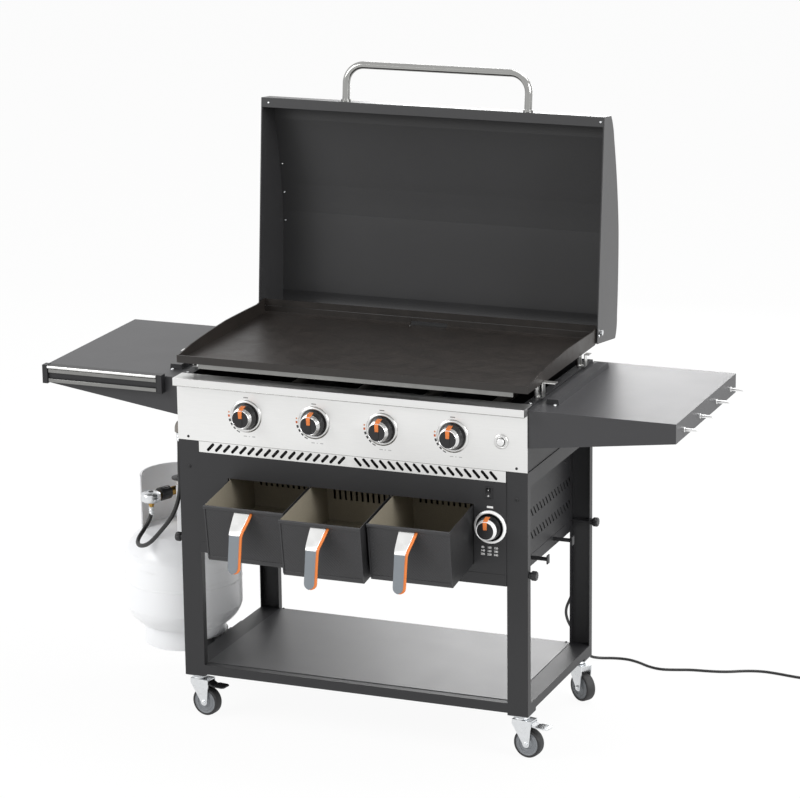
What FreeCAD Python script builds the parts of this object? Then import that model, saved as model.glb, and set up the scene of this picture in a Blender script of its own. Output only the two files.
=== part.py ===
import FreeCAD, Part
import math
import os
import re

import Sketcher

# Outdoor gas griddle station on casters: cart frame, burner box, hinged hood,
# side tables, air fryer drawers and a gas cylinder. Millimetres, +Z up.
# Heights and depths are taken from the floor and from the front faces of the legs.

os.makedirs("parts", exist_ok=True)
doc = FreeCAD.newDocument("GriddleStation")
sheet = doc.addObject("Spreadsheet::Sheet", "Sizes")

SIZES = {
    # Sheet steel and the origin under the middle of the whole object
    "gauge": 2, "origin_across": 18.6, "origin_back": 210.1,
    # Side frames: two folded legs joined by a rail at the foot and an angle at the top
    "frame_half": 465, "leg_face": 54, "leg_flange": 20, "frame_depth": 493,
    "foot_level": 112, "foot_top": 120, "foot_length": 58, "rail_top": 143,
    "angle_low": 700, "box_floor": 738, "shelf_low": 118, "shelf_depth": 480,
    # Hand screws through the legs into the fryer casing
    "screw_front": 11, "screw_rear": 482, "screw_level": 477, "screw_way": 3.1,
    "screw_shank": 3, "screw_tip": 404, "thumb_collar": 8, "thumb_radius": 12,
    "thumb_start": 472, "thumb_end": 490,
    # Swivel casters
    "caster_x": 438, "caster_front": 30, "caster_rear": 463, "wheel_radius": 37.5,
    "trail": 20, "tyre_half": 13, "tread_half": 9, "hub_half": 14.4, "hub_core": 11,
    "hub_rim": 29, "hub_face": 11, "fork_half": 17.5, "fork_inner": 15, "fork_nose": -19,
    "fork_tail": 34, "fork_top": 98, "fork_plate": 95, "cheek_low": 38, "cheek_high": 86,
    "cheek_swell": 9.5, "axle_radius": 4, "nut_radius": 6.5, "nut_height": 2,
    "kingpin_radius": 5, "kingpin_head": 8, "kingpin_low": 91.5, "race_radius": 17,
    "race_gap": 0.3, "running_gap": 0.06, "plate_low": 109, "plate_half": 25,
    # Brake pedals on the front casters
    "pedal_x": 28, "pedal_z": 90, "pedal_pin": 2.5, "pedal_eye": 4.4, "pedal_half": 14,
    "pedal_low": 83, "pedal_sheet": 3, "pedal_bend": 42, "pedal_start": 48,
    "pedal_bow": 74, "pedal_tip": 80, "pedal_tread": 17, "pedal_corner": 12,
    # Burner box with its stainless front and the slotted strip under it
    "box_half": 463, "box_depth": 500, "box_top": 901, "lip_width": 22,
    "window_half": 430, "window_low": 760, "window_high": 870,
    "step_low": 883, "step_reach": 26.5, "panel_return": 30, "shaft_hole": 6,
    "collar_hole": 12, "strip_half": 410, "strip_low": 710, "slot_first": 18.5,
    "slot_pitch": 23.75, "slot_count": 17, "slot_level": 724, "slot_rise": 8,
    "slot_run": 8, "slot_half": 2.1,
    # Grease cup behind the box, and the rails and bracket that carry it
    "rail_in": 56, "rail_out": 68, "cup_rail": 903, "cup_rail_top": 915,
    "cup_rail_reach": 92, "bracket_low": 870, "cup_half": 52, "cup_rim_half": 65.5,
    "cup_front": 503, "cup_rear": 590, "cup_low": 850, "cup_rim": 905.3, "cup_wall": 1.5,
    # Controls
    "knob_level": 815, "knob_1": -276.6, "knob_2": -93, "knob_3": 88, "knob_4": 273,
    "bezel_bore": 9, "bezel_radius": 42, "bezel_crest": 37.5, "bezel_high": 7.2,
    "bezel_face": 4.5, "skirt_radius": 31, "skirt_back": 5.4, "skirt_front": 13,
    "waist_radius": 25, "waist_front": 22, "ring_radius": 23, "ring_back": 31,
    "ring_front": 39.8, "face_radius": 18, "face_front": 38.4, "pointer_half": 3.7,
    "pointer_in": 3.5, "pointer_out": 29.2, "pointer_foot": 16, "pointer_high": 41.2,
    "stem_radius": 4, "stem_end": 20, "igniter_x": 398.4, "igniter_z": 813,
    "button_radius": 9.2, "button_front": 12.5, "button_stem": 5, "button_end": 24,
    "collar_radius": 18.5, "collar_bore": 9.6, "collar_front": 8, "sleeve_radius": 11.8,
    "sleeve_end": 30, "guide_start": 6,
    "fryer_knob_x": 368.4, "fryer_knob_z": 594, "switch_x": 365, "switch_z": 680,
    "rocker_half": 7, "rocker_tall": 11.6, "rocker_face": 5, "rocker_dip": 2.8,
    "rocker_heel": 1, "rocker_foot": 4, "rocker_pivot": 3, "rocker_pin": 1.5,
    "rocker_pin_half": 9.5, "ear_wall": 2.5, "switch_half": 7.4,
    "switch_tall": 13, "switch_rim": 3, "ear_half": 6,
    # Gas way inside the box
    "pipe_radius": 10, "pipe_back": 50, "pipe_left": -430, "pipe_right": 385,
    "pipe_bend": 20, "inlet_x": -488, "inlet_level": 770, "inlet_foot": 742,
    "valve_half": 14, "valve_tall": 13, "valve_depth": 42, "tube_radius": 14,
    "tube_start": 61,
    # Griddle plate and what carries it
    "plate_x": 465, "plate_front": 2, "plate_bottom": 936, "plate_floor": 941,
    "plate_rear": 540, "plate_wall": 3, "rim_front": 955, "rim_rear": 980,
    "post_x": 450, "post_front": 110, "post_rear": 429, "post_radius": 7,
    "locator_x": 468, "locator_half": 10, "front_locator": 941, "front_arm": 500,
    "rear_locator": 934, "rear_arm": 480, "drain_left": -47, "drain_right": 54,
    "drain_top": 953, "spout_reach": 556, "stiffener_left": -410, "stiffener_right": 424,
    "stiffener_low": 923, "stiffener_front": 10, "stiffener_back": 14,
    # Hood, drawn upright in its own frame: back from the opening, up from its foot
    "hood_back": 507, "hood_foot": 974, "hood_lean": 5.75, "hood_half": 470,
    "cap_wall": 3, "hinge_back": 35, "hinge_drop": 8.5, "hinge_bolt": 4, "bolt_head": 7,
    "bolt_head_reach": 5, "hood_height": 541, "lip_drop": 25,
    "handle_left": -240, "handle_right": 259, "handle_radius": 9.8,
    "handle_rise": 96, "handle_bend": 48, "handle_back": 24, "handle_foot": 6,
    # Side tables, with the tool strip on the left one and four pegs on the right one
    "table_in": 463, "table_out": 836, "right_top": 895, "right_front": 2,
    "right_rear": 508, "right_low_in": 800, "right_low_out": 846,
    "left_top": 898, "left_front": 0, "left_rear": 520, "left_low_in": 801,
    "left_low_out": 856, "ridge_in": 486, "ridge_out": 519, "ridge_front": 74,
    "ridge_rear": 460, "ridge_rise": 13, "ridge_taper": 2, "peg_level": 868, "peg_reach": 37,
    "peg_radius": 4, "peg_flange": 6.5, "peg_flange_depth": 4,
    "strip_left": -832, "strip_right": -498, "strip_cap": 14, "strip_depth": 16,
    "strip_foot": 859, "strip_top": 902, "strip_lip": 7, "bar_left": -816, "bar_right": -514,
    "bar_reach": 20, "bar_height": 10, "bar_low": 860, "bar_high": 885,
    # Air fryer casing and drawers, which slide on an incline
    "casing_half": 411, "casing_low": 446, "casing_top": 705, "casing_rear": 495,
    "louvre_first": 145.5, "louvre_width": 8, "louvre_lean": 18, "louvre_rise": 11,
    "louvre_pitch": 22.5, "louvre_count": 15, "louvre_upper": 583, "louvre_lower": 523,
    "motor_radius": 35, "motor_front": 400, "shaft_front": 345,
    "winder_front": 156, "winder_front_z": 474, "winder_rear": 345, "winder_rear_z": 466,
    "winder_radius": 5, "winder_end": 461, "winder_plate": 3, "winder_half": 8,
    "winder_tall": 11,
    "bay_left": -331, "bay_right": 326, "bay_low": 494.5, "bay_high": 648.5,
    "drawer_slope": 8, "drawer_level": 646, "drawer_height": 148, "drawer_half": 106.5,
    "drawer_depth": 290, "drawer_1": -219, "drawer_2": -1, "drawer_3": 218,
    "pull_1": 160, "pull_2": 195, "pull_3": 165, "pan_wall": 1.5,
    "bay_gap": 1, "floor_gap": 0.5, "liner_left": -328.5, "liner_right": 327.5,
    "liner_rear": 302, "liner_top": 3.5, "vent_first": 20, "vent_width": 6,
    "vent_pitch": 15, "vent_count": 12, "vent_low": -70, "vent_high": -20,
    "tray_level": -130, "tray_edge": 5, "tray_slots": 13, "tray_slot_first": 14,
    "tray_slot_front": 20, "tray_slot_rear": 150, "tray_slot_length": 110,
    "tray_foot_left": -84.5, "tray_foot_right": 80.5, "tray_foot_front": 30,
    "tray_foot_rear": 240, "tray_foot_width": 5, "tray_foot_depth": 8,
    "tab_wall": 7, "tab_half": 24, "tab_tip_half": 16.5, "tab_root": 7, "tab_neck": 10,
    "tab_elbow_out": 56, "tab_elbow_drop": 40, "tab_tip_out": 87, "tab_tip_drop": 136,
    "tab_round_drop": 122, "tab_round": 14, "tab_reach": 110,
    "fan_z": 576, "fan_radius": 80, "fan_hub": 14, "fan_front": 350, "fan_disc": 382,
    "fan_rear": 385, "fan_blades": 8, "fan_sweep": 10,
    # Gas cylinder on the left, its valve and the cradle that carries it
    "tank_x": -600, "tank_y": 288, "tank_radius": 153, "tank_low": 100, "tank_wall": 3,
    "dome_foot": 126, "dome_low": 150, "side_low": 205, "side_high": 345,
    "dome_high": 405, "dome_top": 425, "dome_swell": 9, "shoulder_radius": 104,
    "foot_ring": 108, "ring_wall": 6, "collar_top": 555, "collar_wall": 3,
    "collar_sweep": 280, "collar_turn": -72, "collar_port": 14, "port_level": 524, "grip_half": 30,
    "grip_low": 505, "grip_high": 535, "outlet_turn": -112, "outlet_z": 515,
    "valve_radius": 13, "valve_top": 536, "outlet_radius": 11, "outlet_reach": 46,
    "wheel_stem": 4, "wheel_low": 537, "wheel_rim": 28, "wheel_hub": 12, "wheel_top": 549,
    "cradle_gap": 4, "cradle_wall": 26, "cradle_ledge": 3, "cradle_bore": 88,
    "cradle_sweep": 100, "arm_front": 238, "arm_rear": 318, "arm_width": 20,
    "cradle_plate_low": 225, "cradle_plate_high": 351,
    # Regulator on the cylinder's outlet
    "nut_size": 18, "nut_end": 80, "neck_start": 84, "neck_size": 12, "neck_end": 90,
    "bell_reach": 108, "bell_radius": 26, "bell_half": 14, "barb_radius": 8,
    "barb_drop": 26,
    # Leads
    "hose_radius": 5.5, "cord_radius": 3.75, "cord_low": 4.1, "cord_pitch": 8.1,
    "coil_half": 49, "coil_x": 1012.5, "coil_y": 795, "exit_x": 385, "exit_z": 458,
    "relief_end": 525, "relief_radius": 7.5, "relief_flange": 4, "relief_neck": 6.2,
    "relief_tip": 4.6, "plug_length": 38, "plug_half": 13, "plug_nose": 7,
    "plug_taper": 12, "blade_reach": 54, "blade_root": 37, "blade_gap": 6.3,
    "blade_thick": 0.8, "blade_drop": 6, "earth_radius": 2.4, "earth_reach": 56,
    "earth_rise": 5.5,
}
LEAD_SIDES = 8

for row, (word, size) in enumerate(SIZES.items(), 1):
    sheet.set(f"A{row}", word)
    sheet.set(f"B{row}", str(size))
    sheet.setAlias(f"B{row}", word)
doc.recompute()

SIZE_WORD = re.compile(r"\b(" + "|".join(SIZES) + r")\b")


def bound(text):
    """The expression with each size word read from the sheet."""
    return SIZE_WORD.sub(r"Sizes.\1", str(text))


def number(text):
    """What an expression comes to, as a plain number."""
    value = sheet.evalExpression(bound(text))
    return float(getattr(value, "Value", value))


def bind(thing, prop, text):
    """Bind a property to an expression of the sheet's sizes."""
    thing.setExpression(prop, bound(text))


def box(name, across, back, up):
    """A block between pairs of positions along X, Y and Z."""
    block = doc.addObject("Part::Box", name)
    sides = (("x", "Length", across), ("y", "Width", back), ("z", "Height", up))
    for axis, prop, (low, high) in sides:
        bind(block, prop, f"({high}) - ({low})")
        bind(block, f"Placement.Base.{axis}", low)
    return block


AXES = {"X": FreeCAD.Vector(1, 0, 0), "Y": FreeCAD.Vector(0, 1, 0), "Z": FreeCAD.Vector(0, 0, 1)}


def rod(name, axis, centre, radius, span, angle=360):
    """A round bar along X, Y or Z, with its centre line at the other two positions."""
    bar = doc.addObject("Part::Cylinder", name)
    bind(bar, "Radius", radius)
    bind(bar, "Height", f"({span[1]}) - ({span[0]})")
    bar.Angle = angle
    turn = FreeCAD.Rotation(FreeCAD.Vector(0, 0, 1), AXES[axis])
    bar.Placement = FreeCAD.Placement(FreeCAD.Vector(), turn)
    spots = list(centre)
    spots.insert("XYZ".index(axis), span[0])
    for letter, spot in zip("xyz", spots):
        bind(bar, f"Placement.Base.{letter}", spot)
    return bar


def fuse(name, pieces):
    """One solid out of pieces that are welded together."""
    whole = doc.addObject("Part::MultiFuse", name)
    whole.Shapes = list(pieces)
    whole.Refine = True
    return whole


def cut(name, base, tool):
    """The base less the tool."""
    rest = doc.addObject("Part::Cut", name)
    rest.Base = base
    rest.Tool = tool
    return rest


def group(name, pieces):
    """Separate solids that share one node."""
    whole = doc.addObject("Part::Compound", name)
    whole.Links = list(pieces)
    return whole


def folded(path, side=1, wall="gauge"):
    """Outline of a folded sheet: its outer bends, then the inner ones a wall away to the left."""
    spots = [FreeCAD.Vector(number(bend[0]), number(bend[1]), 0) for bend in path]
    runs = [(after - before).normalize() for before, after in zip(spots, spots[1:])]
    normals = [FreeCAD.Vector(-run.y, run.x, 0) * side for run in runs]
    inner = []
    for index, bend in enumerate(path):
        before = normals[max(index - 1, 0)]
        after = normals[min(index, len(normals) - 1)]
        step = (before + after) / (1 + before.dot(after))
        along = f"({bend[0]}) + {step.x:.5f} * {wall}"
        up = f"({bend[1]}) + {step.y:.5f} * {wall}"
        bulge = path[index - 1][2] if index and len(path[index - 1]) > 2 else 0
        inner.append((along, up, f"-({bulge})") if bulge else (along, up))
    return list(path) + inner[::-1]


def frame(x0, x1, y0, y1):
    """Outline of a rectangle."""
    return [(x0, y0), (x1, y0), (x1, y1), (x0, y1)]


def nearest(sketch, geometry, spot):
    """The end of a line or an arc that lies at a corner."""
    return min((1, 2), key=lambda end: (sketch.getPoint(geometry, end) - spot).Length)


def draw(body, name, plane, loops, offset):
    """A sketch on a plane of the body, every corner held at its own position.

    A loop is a list of corners (x, y) or (x, y, bulge), where a bulge is how far the
    stretch to the next corner stands out to the right of travel, or one round hole
    as ("round", x, y, radius)."""
    sketch = body.newObject("Sketcher::SketchObject", name)
    face = next(part for part in body.Origin.OriginFeatures if part.Role == plane + "_Plane")
    sketch.AttachmentSupport = (face, "")
    sketch.MapMode = "FlatFace"
    bind(sketch, "AttachmentOffset.Base.z", offset)
    rules = []
    for loop in loops:
        if loop[0] == "round":
            centre = FreeCAD.Vector(number(loop[1]), number(loop[2]), 0)
            circle = Part.Circle(centre, FreeCAD.Vector(0, 0, 1), number(loop[3]))
            index = sketch.addGeometry(circle)
            rules.append((("DistanceX", -1, 1, index, 3), loop[1]))
            rules.append((("DistanceY", -1, 1, index, 3), loop[2]))
            rules.append((("Radius", index), loop[3]))
            continue
        spots = [FreeCAD.Vector(number(corner[0]), number(corner[1]), 0) for corner in loop]
        lines = []
        for corner, start, end in zip(loop, spots, spots[1:] + spots[:1]):
            if len(corner) > 2:
                chord = end - start
                out = FreeCAD.Vector(chord.y, -chord.x, 0).normalize()
                middle = (start + end) / 2 + out * number(corner[2])
                lines.append(sketch.addGeometry(Part.Arc(start, middle, end)))
            else:
                lines.append(sketch.addGeometry(Part.LineSegment(start, end)))
        for place, spot in enumerate(spots):
            here, last = lines[place], lines[place - 1]
            end = nearest(sketch, here, spot)
            join = ("Coincident", last, nearest(sketch, last, spot), here, end)
            rules.append((join, None))
            rules.append((("DistanceX", -1, 1, here, end), loop[place][0]))
            rules.append((("DistanceY", -1, 1, here, end), loop[place][1]))
    sketch.addConstraint([
        Sketcher.Constraint(*rule) if text is None else Sketcher.Constraint(*rule, number(text))
        for rule, text in rules])
    for index, (rule, text) in enumerate(rules):
        if text is not None and SIZE_WORD.search(str(text)):
            bind(sketch, f"Constraints[{index}]", text)
    return sketch


def new_body(name):
    """An empty body."""
    return doc.addObject("PartDesign::Body", name)


def pad(body, name, plane, loops, span):
    """Material between two positions along the plane's axis."""
    offset = f"-({span[1]})" if plane == "XZ" else span[0]
    feature = body.newObject("PartDesign::Pad", name)
    feature.Profile = draw(body, name + "Outline", plane, loops, offset)
    bind(feature, "Length", f"({span[1]}) - ({span[0]})")
    return feature


def pocket(body, name, plane, loops, span):
    """An opening cut between two positions along the plane's axis."""
    offset = f"-({span[0]})" if plane == "XZ" else span[1]
    feature = body.newObject("PartDesign::Pocket", name)
    feature.Profile = draw(body, name + "Outline", plane, loops, offset)
    bind(feature, "Length", f"({span[1]}) - ({span[0]})")
    return feature


def turned(body, name, plane, axis, outline):
    """A turned form about the sketch's own upright or level axis."""
    feature = body.newObject("PartDesign::Revolution", name)
    sketch = draw(body, name + "Outline", plane, [outline], "0")
    feature.Profile = sketch
    feature.ReferenceAxis = (sketch, [axis])
    feature.Angle = 360
    return feature


def repeat(body, feature, name, axis, pitch, count, back=False):
    """A row of copies of one feature along an axis of the body."""
    row_of = body.newObject("PartDesign::LinearPattern", name)
    row_of.Originals = [feature]
    line = next(part for part in body.Origin.OriginFeatures if part.Role == axis + "_Axis")
    row_of.Direction = (line, [""])
    row_of.Reversed = back
    bind(row_of, "Length", f"({pitch}) * ({count} - 1)")
    bind(row_of, "Occurrences", count)
    body.Tip = row_of
    return row_of


def extruded(name, plane, loops, span):
    """A body of one pad."""
    body = new_body(name)
    pad(body, name + "Pad", plane, loops, span)
    return body


def spin(name, plane, axis, outline):
    """A body of one turned form."""
    body = new_body(name)
    turned(body, name + "Turned", plane, axis, outline)
    return body


def route_radii(spots):
    """Bend radius at each inner point of a lead: as large as its two runs allow."""
    radii = []
    for before, here, after in zip(spots, spots[1:], spots[2:]):
        first, second = here - before, after - here
        turn = first.getAngle(second)
        radii.append(0.45 * min(first.Length, second.Length) / math.tan(turn / 2))
    return radii


def path_of(spots, radii):
    """Straight runs joined by tangent arcs."""
    edges = []
    start = spots[0]
    for index, radius in enumerate(radii, 1):
        here = spots[index]
        first = (here - spots[index - 1]).normalize()
        second = (spots[index + 1] - here).normalize()
        turn = first.getAngle(second)
        reach = radius * math.tan(turn / 2)
        enter, leave = here - first * reach, here + second * reach
        inward = (second - first).normalize()
        middle = here + inward * (radius / math.cos(turn / 2) - radius)
        edges.append(Part.LineSegment(start, enter).toShape())
        edges.append(Part.Arc(enter, middle, leave).toShape())
        start = leave
    edges.append(Part.LineSegment(start, spots[-1]).toShape())
    return Part.Wire(edges)


def flat_sided_ring(start, heading, radius, sides):
    """A closed ring of straight sides that touch a circle round a heading."""
    level = heading.cross(AXES["Z"] if abs(heading.z) < 0.9 else AXES["X"]).normalize()
    rise = level.cross(heading)
    reach = radius / math.cos(math.pi / sides)
    turns = [2 * math.pi * (side + 0.5) / sides for side in range(sides)]
    corners = [start + level * reach * math.sin(turn) + rise * reach * math.cos(turn)
               for turn in turns]
    return Part.makePolygon(corners + corners[:1])


def swept(name, spine, radius, sides=0):
    """A bar along a path, round or flat-sided, checked against its section times its length."""
    first = spine.Edges[0]
    start = first.valueAt(first.FirstParameter)
    heading = first.tangentAt(first.FirstParameter)
    if sides:
        ring = flat_sided_ring(start, heading, radius, sides)
        area = sides * radius ** 2 * math.tan(math.pi / sides)
    else:
        ring = Part.Wire(Part.makeCircle(radius, start, heading))
        area = math.pi * radius ** 2
    solid = spine.makePipeShell([ring], True, False)
    if not solid.isValid() or solid.ShapeType != "Solid":
        solid = Part.Solid(solid)
    bar = doc.addObject("Part::Feature", name)
    bar.Shape = solid
    expected = area * spine.Length
    print(name, "length", round(spine.Length, 1), "volume ratio", round(solid.Volume / expected, 4))
    return bar


def spot_list(route):
    """Route points as vectors."""
    return [FreeCAD.Vector(*(number(value) for value in spot)) for spot in route]


def bent_bar(name, route, radius, bend, sides=0):
    """A bar bent to one radius at every corner of its route."""
    spots = spot_list(route)
    return swept(name, path_of(spots, [number(bend)] * (len(spots) - 2)), number(radius), sides)


def lead(name, route, radius):
    """A cord or hose through its route, with its smallest bend printed."""
    spots = spot_list(route)
    radii = route_radii(spots)
    print(name, "bend radii", [round(value) for value in radii])
    return swept(name, path_of(spots, radii), number(radius), LEAD_SIDES)


ORIGIN = FreeCAD.Placement(
    FreeCAD.Vector(-number("origin_across"), -number("origin_back"), 0), FreeCAD.Rotation())
nodes = {}


def place(across=0, back=0, up=0, axis="Z", turn=0):
    """A placement from expressions, turned about one axis."""
    base = FreeCAD.Vector(number(across), number(back), number(up))
    return FreeCAD.Placement(base, FreeCAD.Rotation(AXES[axis], number(turn)))


def publish(piece, label, own=FreeCAD.Placement()):
    """Name a finished sub-part and put it where it sits."""
    piece.Label = label
    piece.Placement = ORIGIN.multiply(own)
    nodes[label] = piece


def side_frames():
    """Two folded legs with a rail and an angle between them, and the same mirrored."""
    inner = "frame_half - leg_face"
    front = extruded("FrontLeg", "XY", [folded([
        (inner, "leg_flange"), (inner, 0), ("frame_half", 0), ("frame_half", "leg_flange")])],
        ("foot_level", "box_floor"))
    start = "frame_depth - leg_flange"
    rear = extruded("RearLeg", "XY", [folded([
        ("frame_half", start), ("frame_half", "frame_depth"), (inner, "frame_depth"),
        (inner, start)])], ("foot_level", "box_floor"))
    span = ("gauge", "frame_depth - gauge")
    rail = extruded("FootRail", "XZ", [folded([
        (inner, "foot_top"), (inner, "rail_top"), ("frame_half", "rail_top"),
        ("frame_half", "foot_top")], side=-1)], span)
    angle = extruded("TopAngle", "XZ", [folded([
        ("frame_half", "angle_low"), ("frame_half", "box_floor"), (inner, "box_floor")])], span)
    pieces = [front, rear, rail, angle]
    for word, low, high in (("Front", "0", "foot_length"),
                            ("Rear", "frame_depth - foot_length", "frame_depth")):
        pieces.append(box(word + "Foot", (inner, "frame_half"), (low, high),
                          ("foot_level", "foot_level + gauge")))
        pieces.append(box(word + "Cheek", ("frame_half - gauge", "frame_half"), (low, high),
                          ("foot_level", "rail_top")))
    welded = fuse("WeldedFrame", pieces)
    screws = fuse("ScrewWays", [
        rod(f"ScrewWay{index}", "X", (f"screw_{end}", "screw_level"), "screw_way",
            ("screw_tip", "thumb_start"))
        for index, end in enumerate(("front", "rear"))])
    drilled = cut("DrilledFrame", welded, screws)
    publish(group("RightFrame", [drilled]), "side_frame_right")
    mirrored = doc.addObject("Part::Mirroring", "LeftFrame")
    mirrored.Source = drilled
    mirrored.Normal = AXES["X"]
    publish(mirrored, "side_frame_left")


def bottom_shelf():
    """A tray folded down on all four sides."""
    body = new_body("BottomShelf")
    inner = "(frame_half - leg_face)"
    pad(body, "ShelfBlock", "XY", [frame(f"-{inner}", inner, 0, "shelf_depth")],
        ("shelf_low", "rail_top"))
    pocket(body, "ShelfUnderside", "XY", [frame(
        f"-{inner} + gauge", f"{inner} - gauge", "gauge", "shelf_depth - gauge")],
        ("shelf_low", "rail_top - gauge"))
    publish(body, "bottom_shelf")


CASTERS = {
    # where each caster stands, which way it trails in degrees, and whether it has a brake
    "fl": ("-caster_x", "caster_front", -9, True),
    "fr": ("caster_x", "caster_front", -9, True),
    "rl": ("-caster_x", "caster_rear", -14, False),
    "rr": ("caster_x", "caster_rear", -32.7, False),
}


def caster_mount(word, across, back):
    """Top plate, raceway disc and headed kingpin of one caster."""
    body = new_body("CasterMount" + word)
    head_top = "fork_plate - race_gap"
    race_low = "fork_top + race_gap"
    turned(body, "Raceway" + word, "XZ", "V_Axis", [
        (0, "kingpin_low"), ("kingpin_head", "kingpin_low"), ("kingpin_head", head_top),
        ("kingpin_radius", head_top), ("kingpin_radius", race_low), ("race_radius", race_low),
        ("race_radius", "plate_low"), (0, "plate_low")])
    pad(body, "TopPlate" + word, "XY", [frame("-plate_half", "plate_half", "-plate_half",
                                             "plate_half")], ("plate_low", "foot_level"))
    body.Placement = place(across, back)
    return body


def caster_fork(word, braked):
    """Stamped fork: top plate, two cheeks, the axle and, with a brake, its cross pin."""
    body = new_body("Fork" + word)
    pad(body, "ForkTop" + word, "XY", [
        frame("fork_nose", "fork_tail", "-fork_half", "fork_half"),
        ("round", 0, 0, "kingpin_radius + running_gap")], ("fork_plate", "fork_top"))
    cheek = [("fork_nose", "cheek_high"), ("trail - cheek_swell", "cheek_low", "cheek_swell"),
             ("trail + cheek_swell", "cheek_low"), ("fork_tail", "cheek_high"),
             ("fork_tail", "fork_top"), ("fork_nose", "fork_top")]
    for name, low, high in (("Near", "-fork_half", "-fork_inner"),
                            ("Far", "fork_inner", "fork_half")):
        pad(body, f"{name}Cheek{word}", "XZ", [cheek], (low, high))
    pad(body, "Axle" + word, "XZ", [("round", "trail", "wheel_radius", "axle_radius")],
        ("-fork_half", "fork_half"))
    flat = "nut_radius * 0.866"
    nut = [("trail - nut_radius", "wheel_radius"),
           ("trail - nut_radius / 2", f"wheel_radius - {flat}"),
           ("trail + nut_radius / 2", f"wheel_radius - {flat}"),
           ("trail + nut_radius", "wheel_radius"),
           ("trail + nut_radius / 2", f"wheel_radius + {flat}"),
           ("trail - nut_radius / 2", f"wheel_radius + {flat}")]
    pad(body, "NearNut" + word, "XZ", [nut], ("-fork_half - nut_height", "-fork_half"))
    pad(body, "FarNut" + word, "XZ", [nut], ("fork_half", "fork_half + nut_height"))
    if braked:
        pad(body, "PedalPin" + word, "XZ", [("round", "pedal_x", "pedal_z", "pedal_pin")],
            ("-fork_half", "fork_half"))
    return body


def caster_wheel(word):
    """Tyre with bevelled shoulders on a hub with a running bore."""
    bore = "axle_radius + running_gap"
    near = [(bore, "-hub_half"), ("hub_core", "-hub_half"), ("hub_core", "-hub_face"),
            ("hub_rim", "-hub_face"), ("hub_rim + gauge", "-tyre_half"),
            ("wheel_radius - gauge", "-tyre_half"), ("wheel_radius", "-tread_half")]
    far = [(radius, along[1:]) for radius, along in near[::-1]]
    return spin("Wheel" + word, "XY", "V_Axis", near + far)


def brake_pedal(word):
    """Pressed lever on the fork's cross pin, with a wide tread for the foot."""
    top = "pedal_low + pedal_sheet"
    body = extruded("Pedal" + word, "XZ", [[
        ("pedal_x", "pedal_z - pedal_eye"), ("pedal_bend", "pedal_low"),
        ("pedal_start + gauge", "pedal_low"), ("pedal_start + gauge", top),
        ("pedal_bend + 1", top), ("pedal_x + pedal_eye * 0.7", "pedal_z + pedal_eye * 0.7"),
        ("pedal_x", "pedal_z + pedal_eye"), ("pedal_x - pedal_eye", "pedal_z")],
        ("round", "pedal_x", "pedal_z", "pedal_pin + running_gap")],
        ("-pedal_half", "pedal_half"))
    pad(body, "Tread" + word, "XY", [[
        ("pedal_start", "-pedal_tread"), ("pedal_bow", "-pedal_tread"),
        ("pedal_tip", "-pedal_corner"), ("pedal_tip", "pedal_corner"),
        ("pedal_bow", "pedal_tread"), ("pedal_start", "pedal_tread")]], ("pedal_low", top))
    return body


def casters():
    """Four swivel casters, the two in front with brakes."""
    publish(group("CasterMounts", [
        caster_mount(word.upper(), across, back)
        for word, (across, back, turn, braked) in CASTERS.items()]), "caster_plates")
    for word, (across, back, turn, braked) in CASTERS.items():
        heading = place(across, back, 0, "Z", turn)
        publish(caster_fork(word.upper(), braked), "caster_fork_" + word, heading)
        hub = heading.multiply(place("trail", 0, "wheel_radius"))
        publish(caster_wheel(word.upper()), "caster_wheel_" + word, hub)
        if braked:
            side = {"fl": "left", "fr": "right"}[word]
            publish(brake_pedal(word.upper()), "brake_pedal_" + side, heading)


def burner_box():
    """Five riveted sheets round the burners: floor, front, rear with the cup's rails, sides."""
    floor = extruded("BoxFloor", "XY", [frame("-box_half", "box_half", 0, "box_depth")],
                     ("box_floor", "box_floor + gauge"))
    wall = frame("-box_half", "box_half", "box_floor + gauge", "box_top")
    front = extruded("BoxFront", "XZ", [wall, frame(
        "-window_half", "window_half", "window_low", "window_high")], (0, "gauge"))
    rear = extruded("BoxRear", "XZ", [wall], ("box_depth - gauge", "box_depth"))
    pad(rear, "CupBracket", "XZ", [frame("-rail_out", "rail_out", "bracket_low",
                                         "cup_rail_top")],
        ("box_depth", "box_depth + gauge"))
    for word, side in (("Left", -1), ("Right", 1)):
        rail = folded([(f"{side} * rail_in", "cup_rail"), (f"{side} * rail_out", "cup_rail"),
                       (f"{side} * rail_out", "cup_rail_top")], side=side)
        pad(rear, word + "CupRail", "XZ", [rail], ("box_depth", "box_depth + cup_rail_reach"))
    sheets = [floor, front, rear]
    for word, side in (("Left", -1), ("Right", 1)):
        fold = folded([(f"{side} * box_half", "box_floor + gauge"),
                       (f"{side} * box_half", "box_top"),
                       (f"{side} * (box_half - lip_width)", "box_top")], side=side)
        sheets.append(extruded("BoxSide" + word, "XZ", [fold], ("gauge", "box_depth - gauge")))
    pocket(sheets[3], "GasInlet", "YZ", [
        ("round", "pipe_back", "inlet_level", "pipe_radius + 1")],
        ("-box_half", "-box_half + gauge"))
    publish(group("BurnerBox", sheets), "burner_box")


def slanted_slot(lean):
    """Outline of one slot of the lower strip with bevelled ends, leaning left or right."""
    centre = f"{lean} * slot_first"
    corner = "0.7071 * slot_half"
    outline = []
    for end in (-1, 1):
        tip_x = f"({centre} + {lean * end} * slot_run)"
        tip_z = f"(slot_level - {end} * slot_rise)"
        outline += [(f"{tip_x} - {lean * end} * {corner}", f"{tip_z} - {end} * {corner}"),
                    (f"{tip_x} + {lean * end} * {corner}", f"{tip_z} - {end} * {corner}"),
                    (f"{tip_x} + {lean * end} * {corner}", f"{tip_z} + {end} * {corner}")]
    return outline


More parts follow.
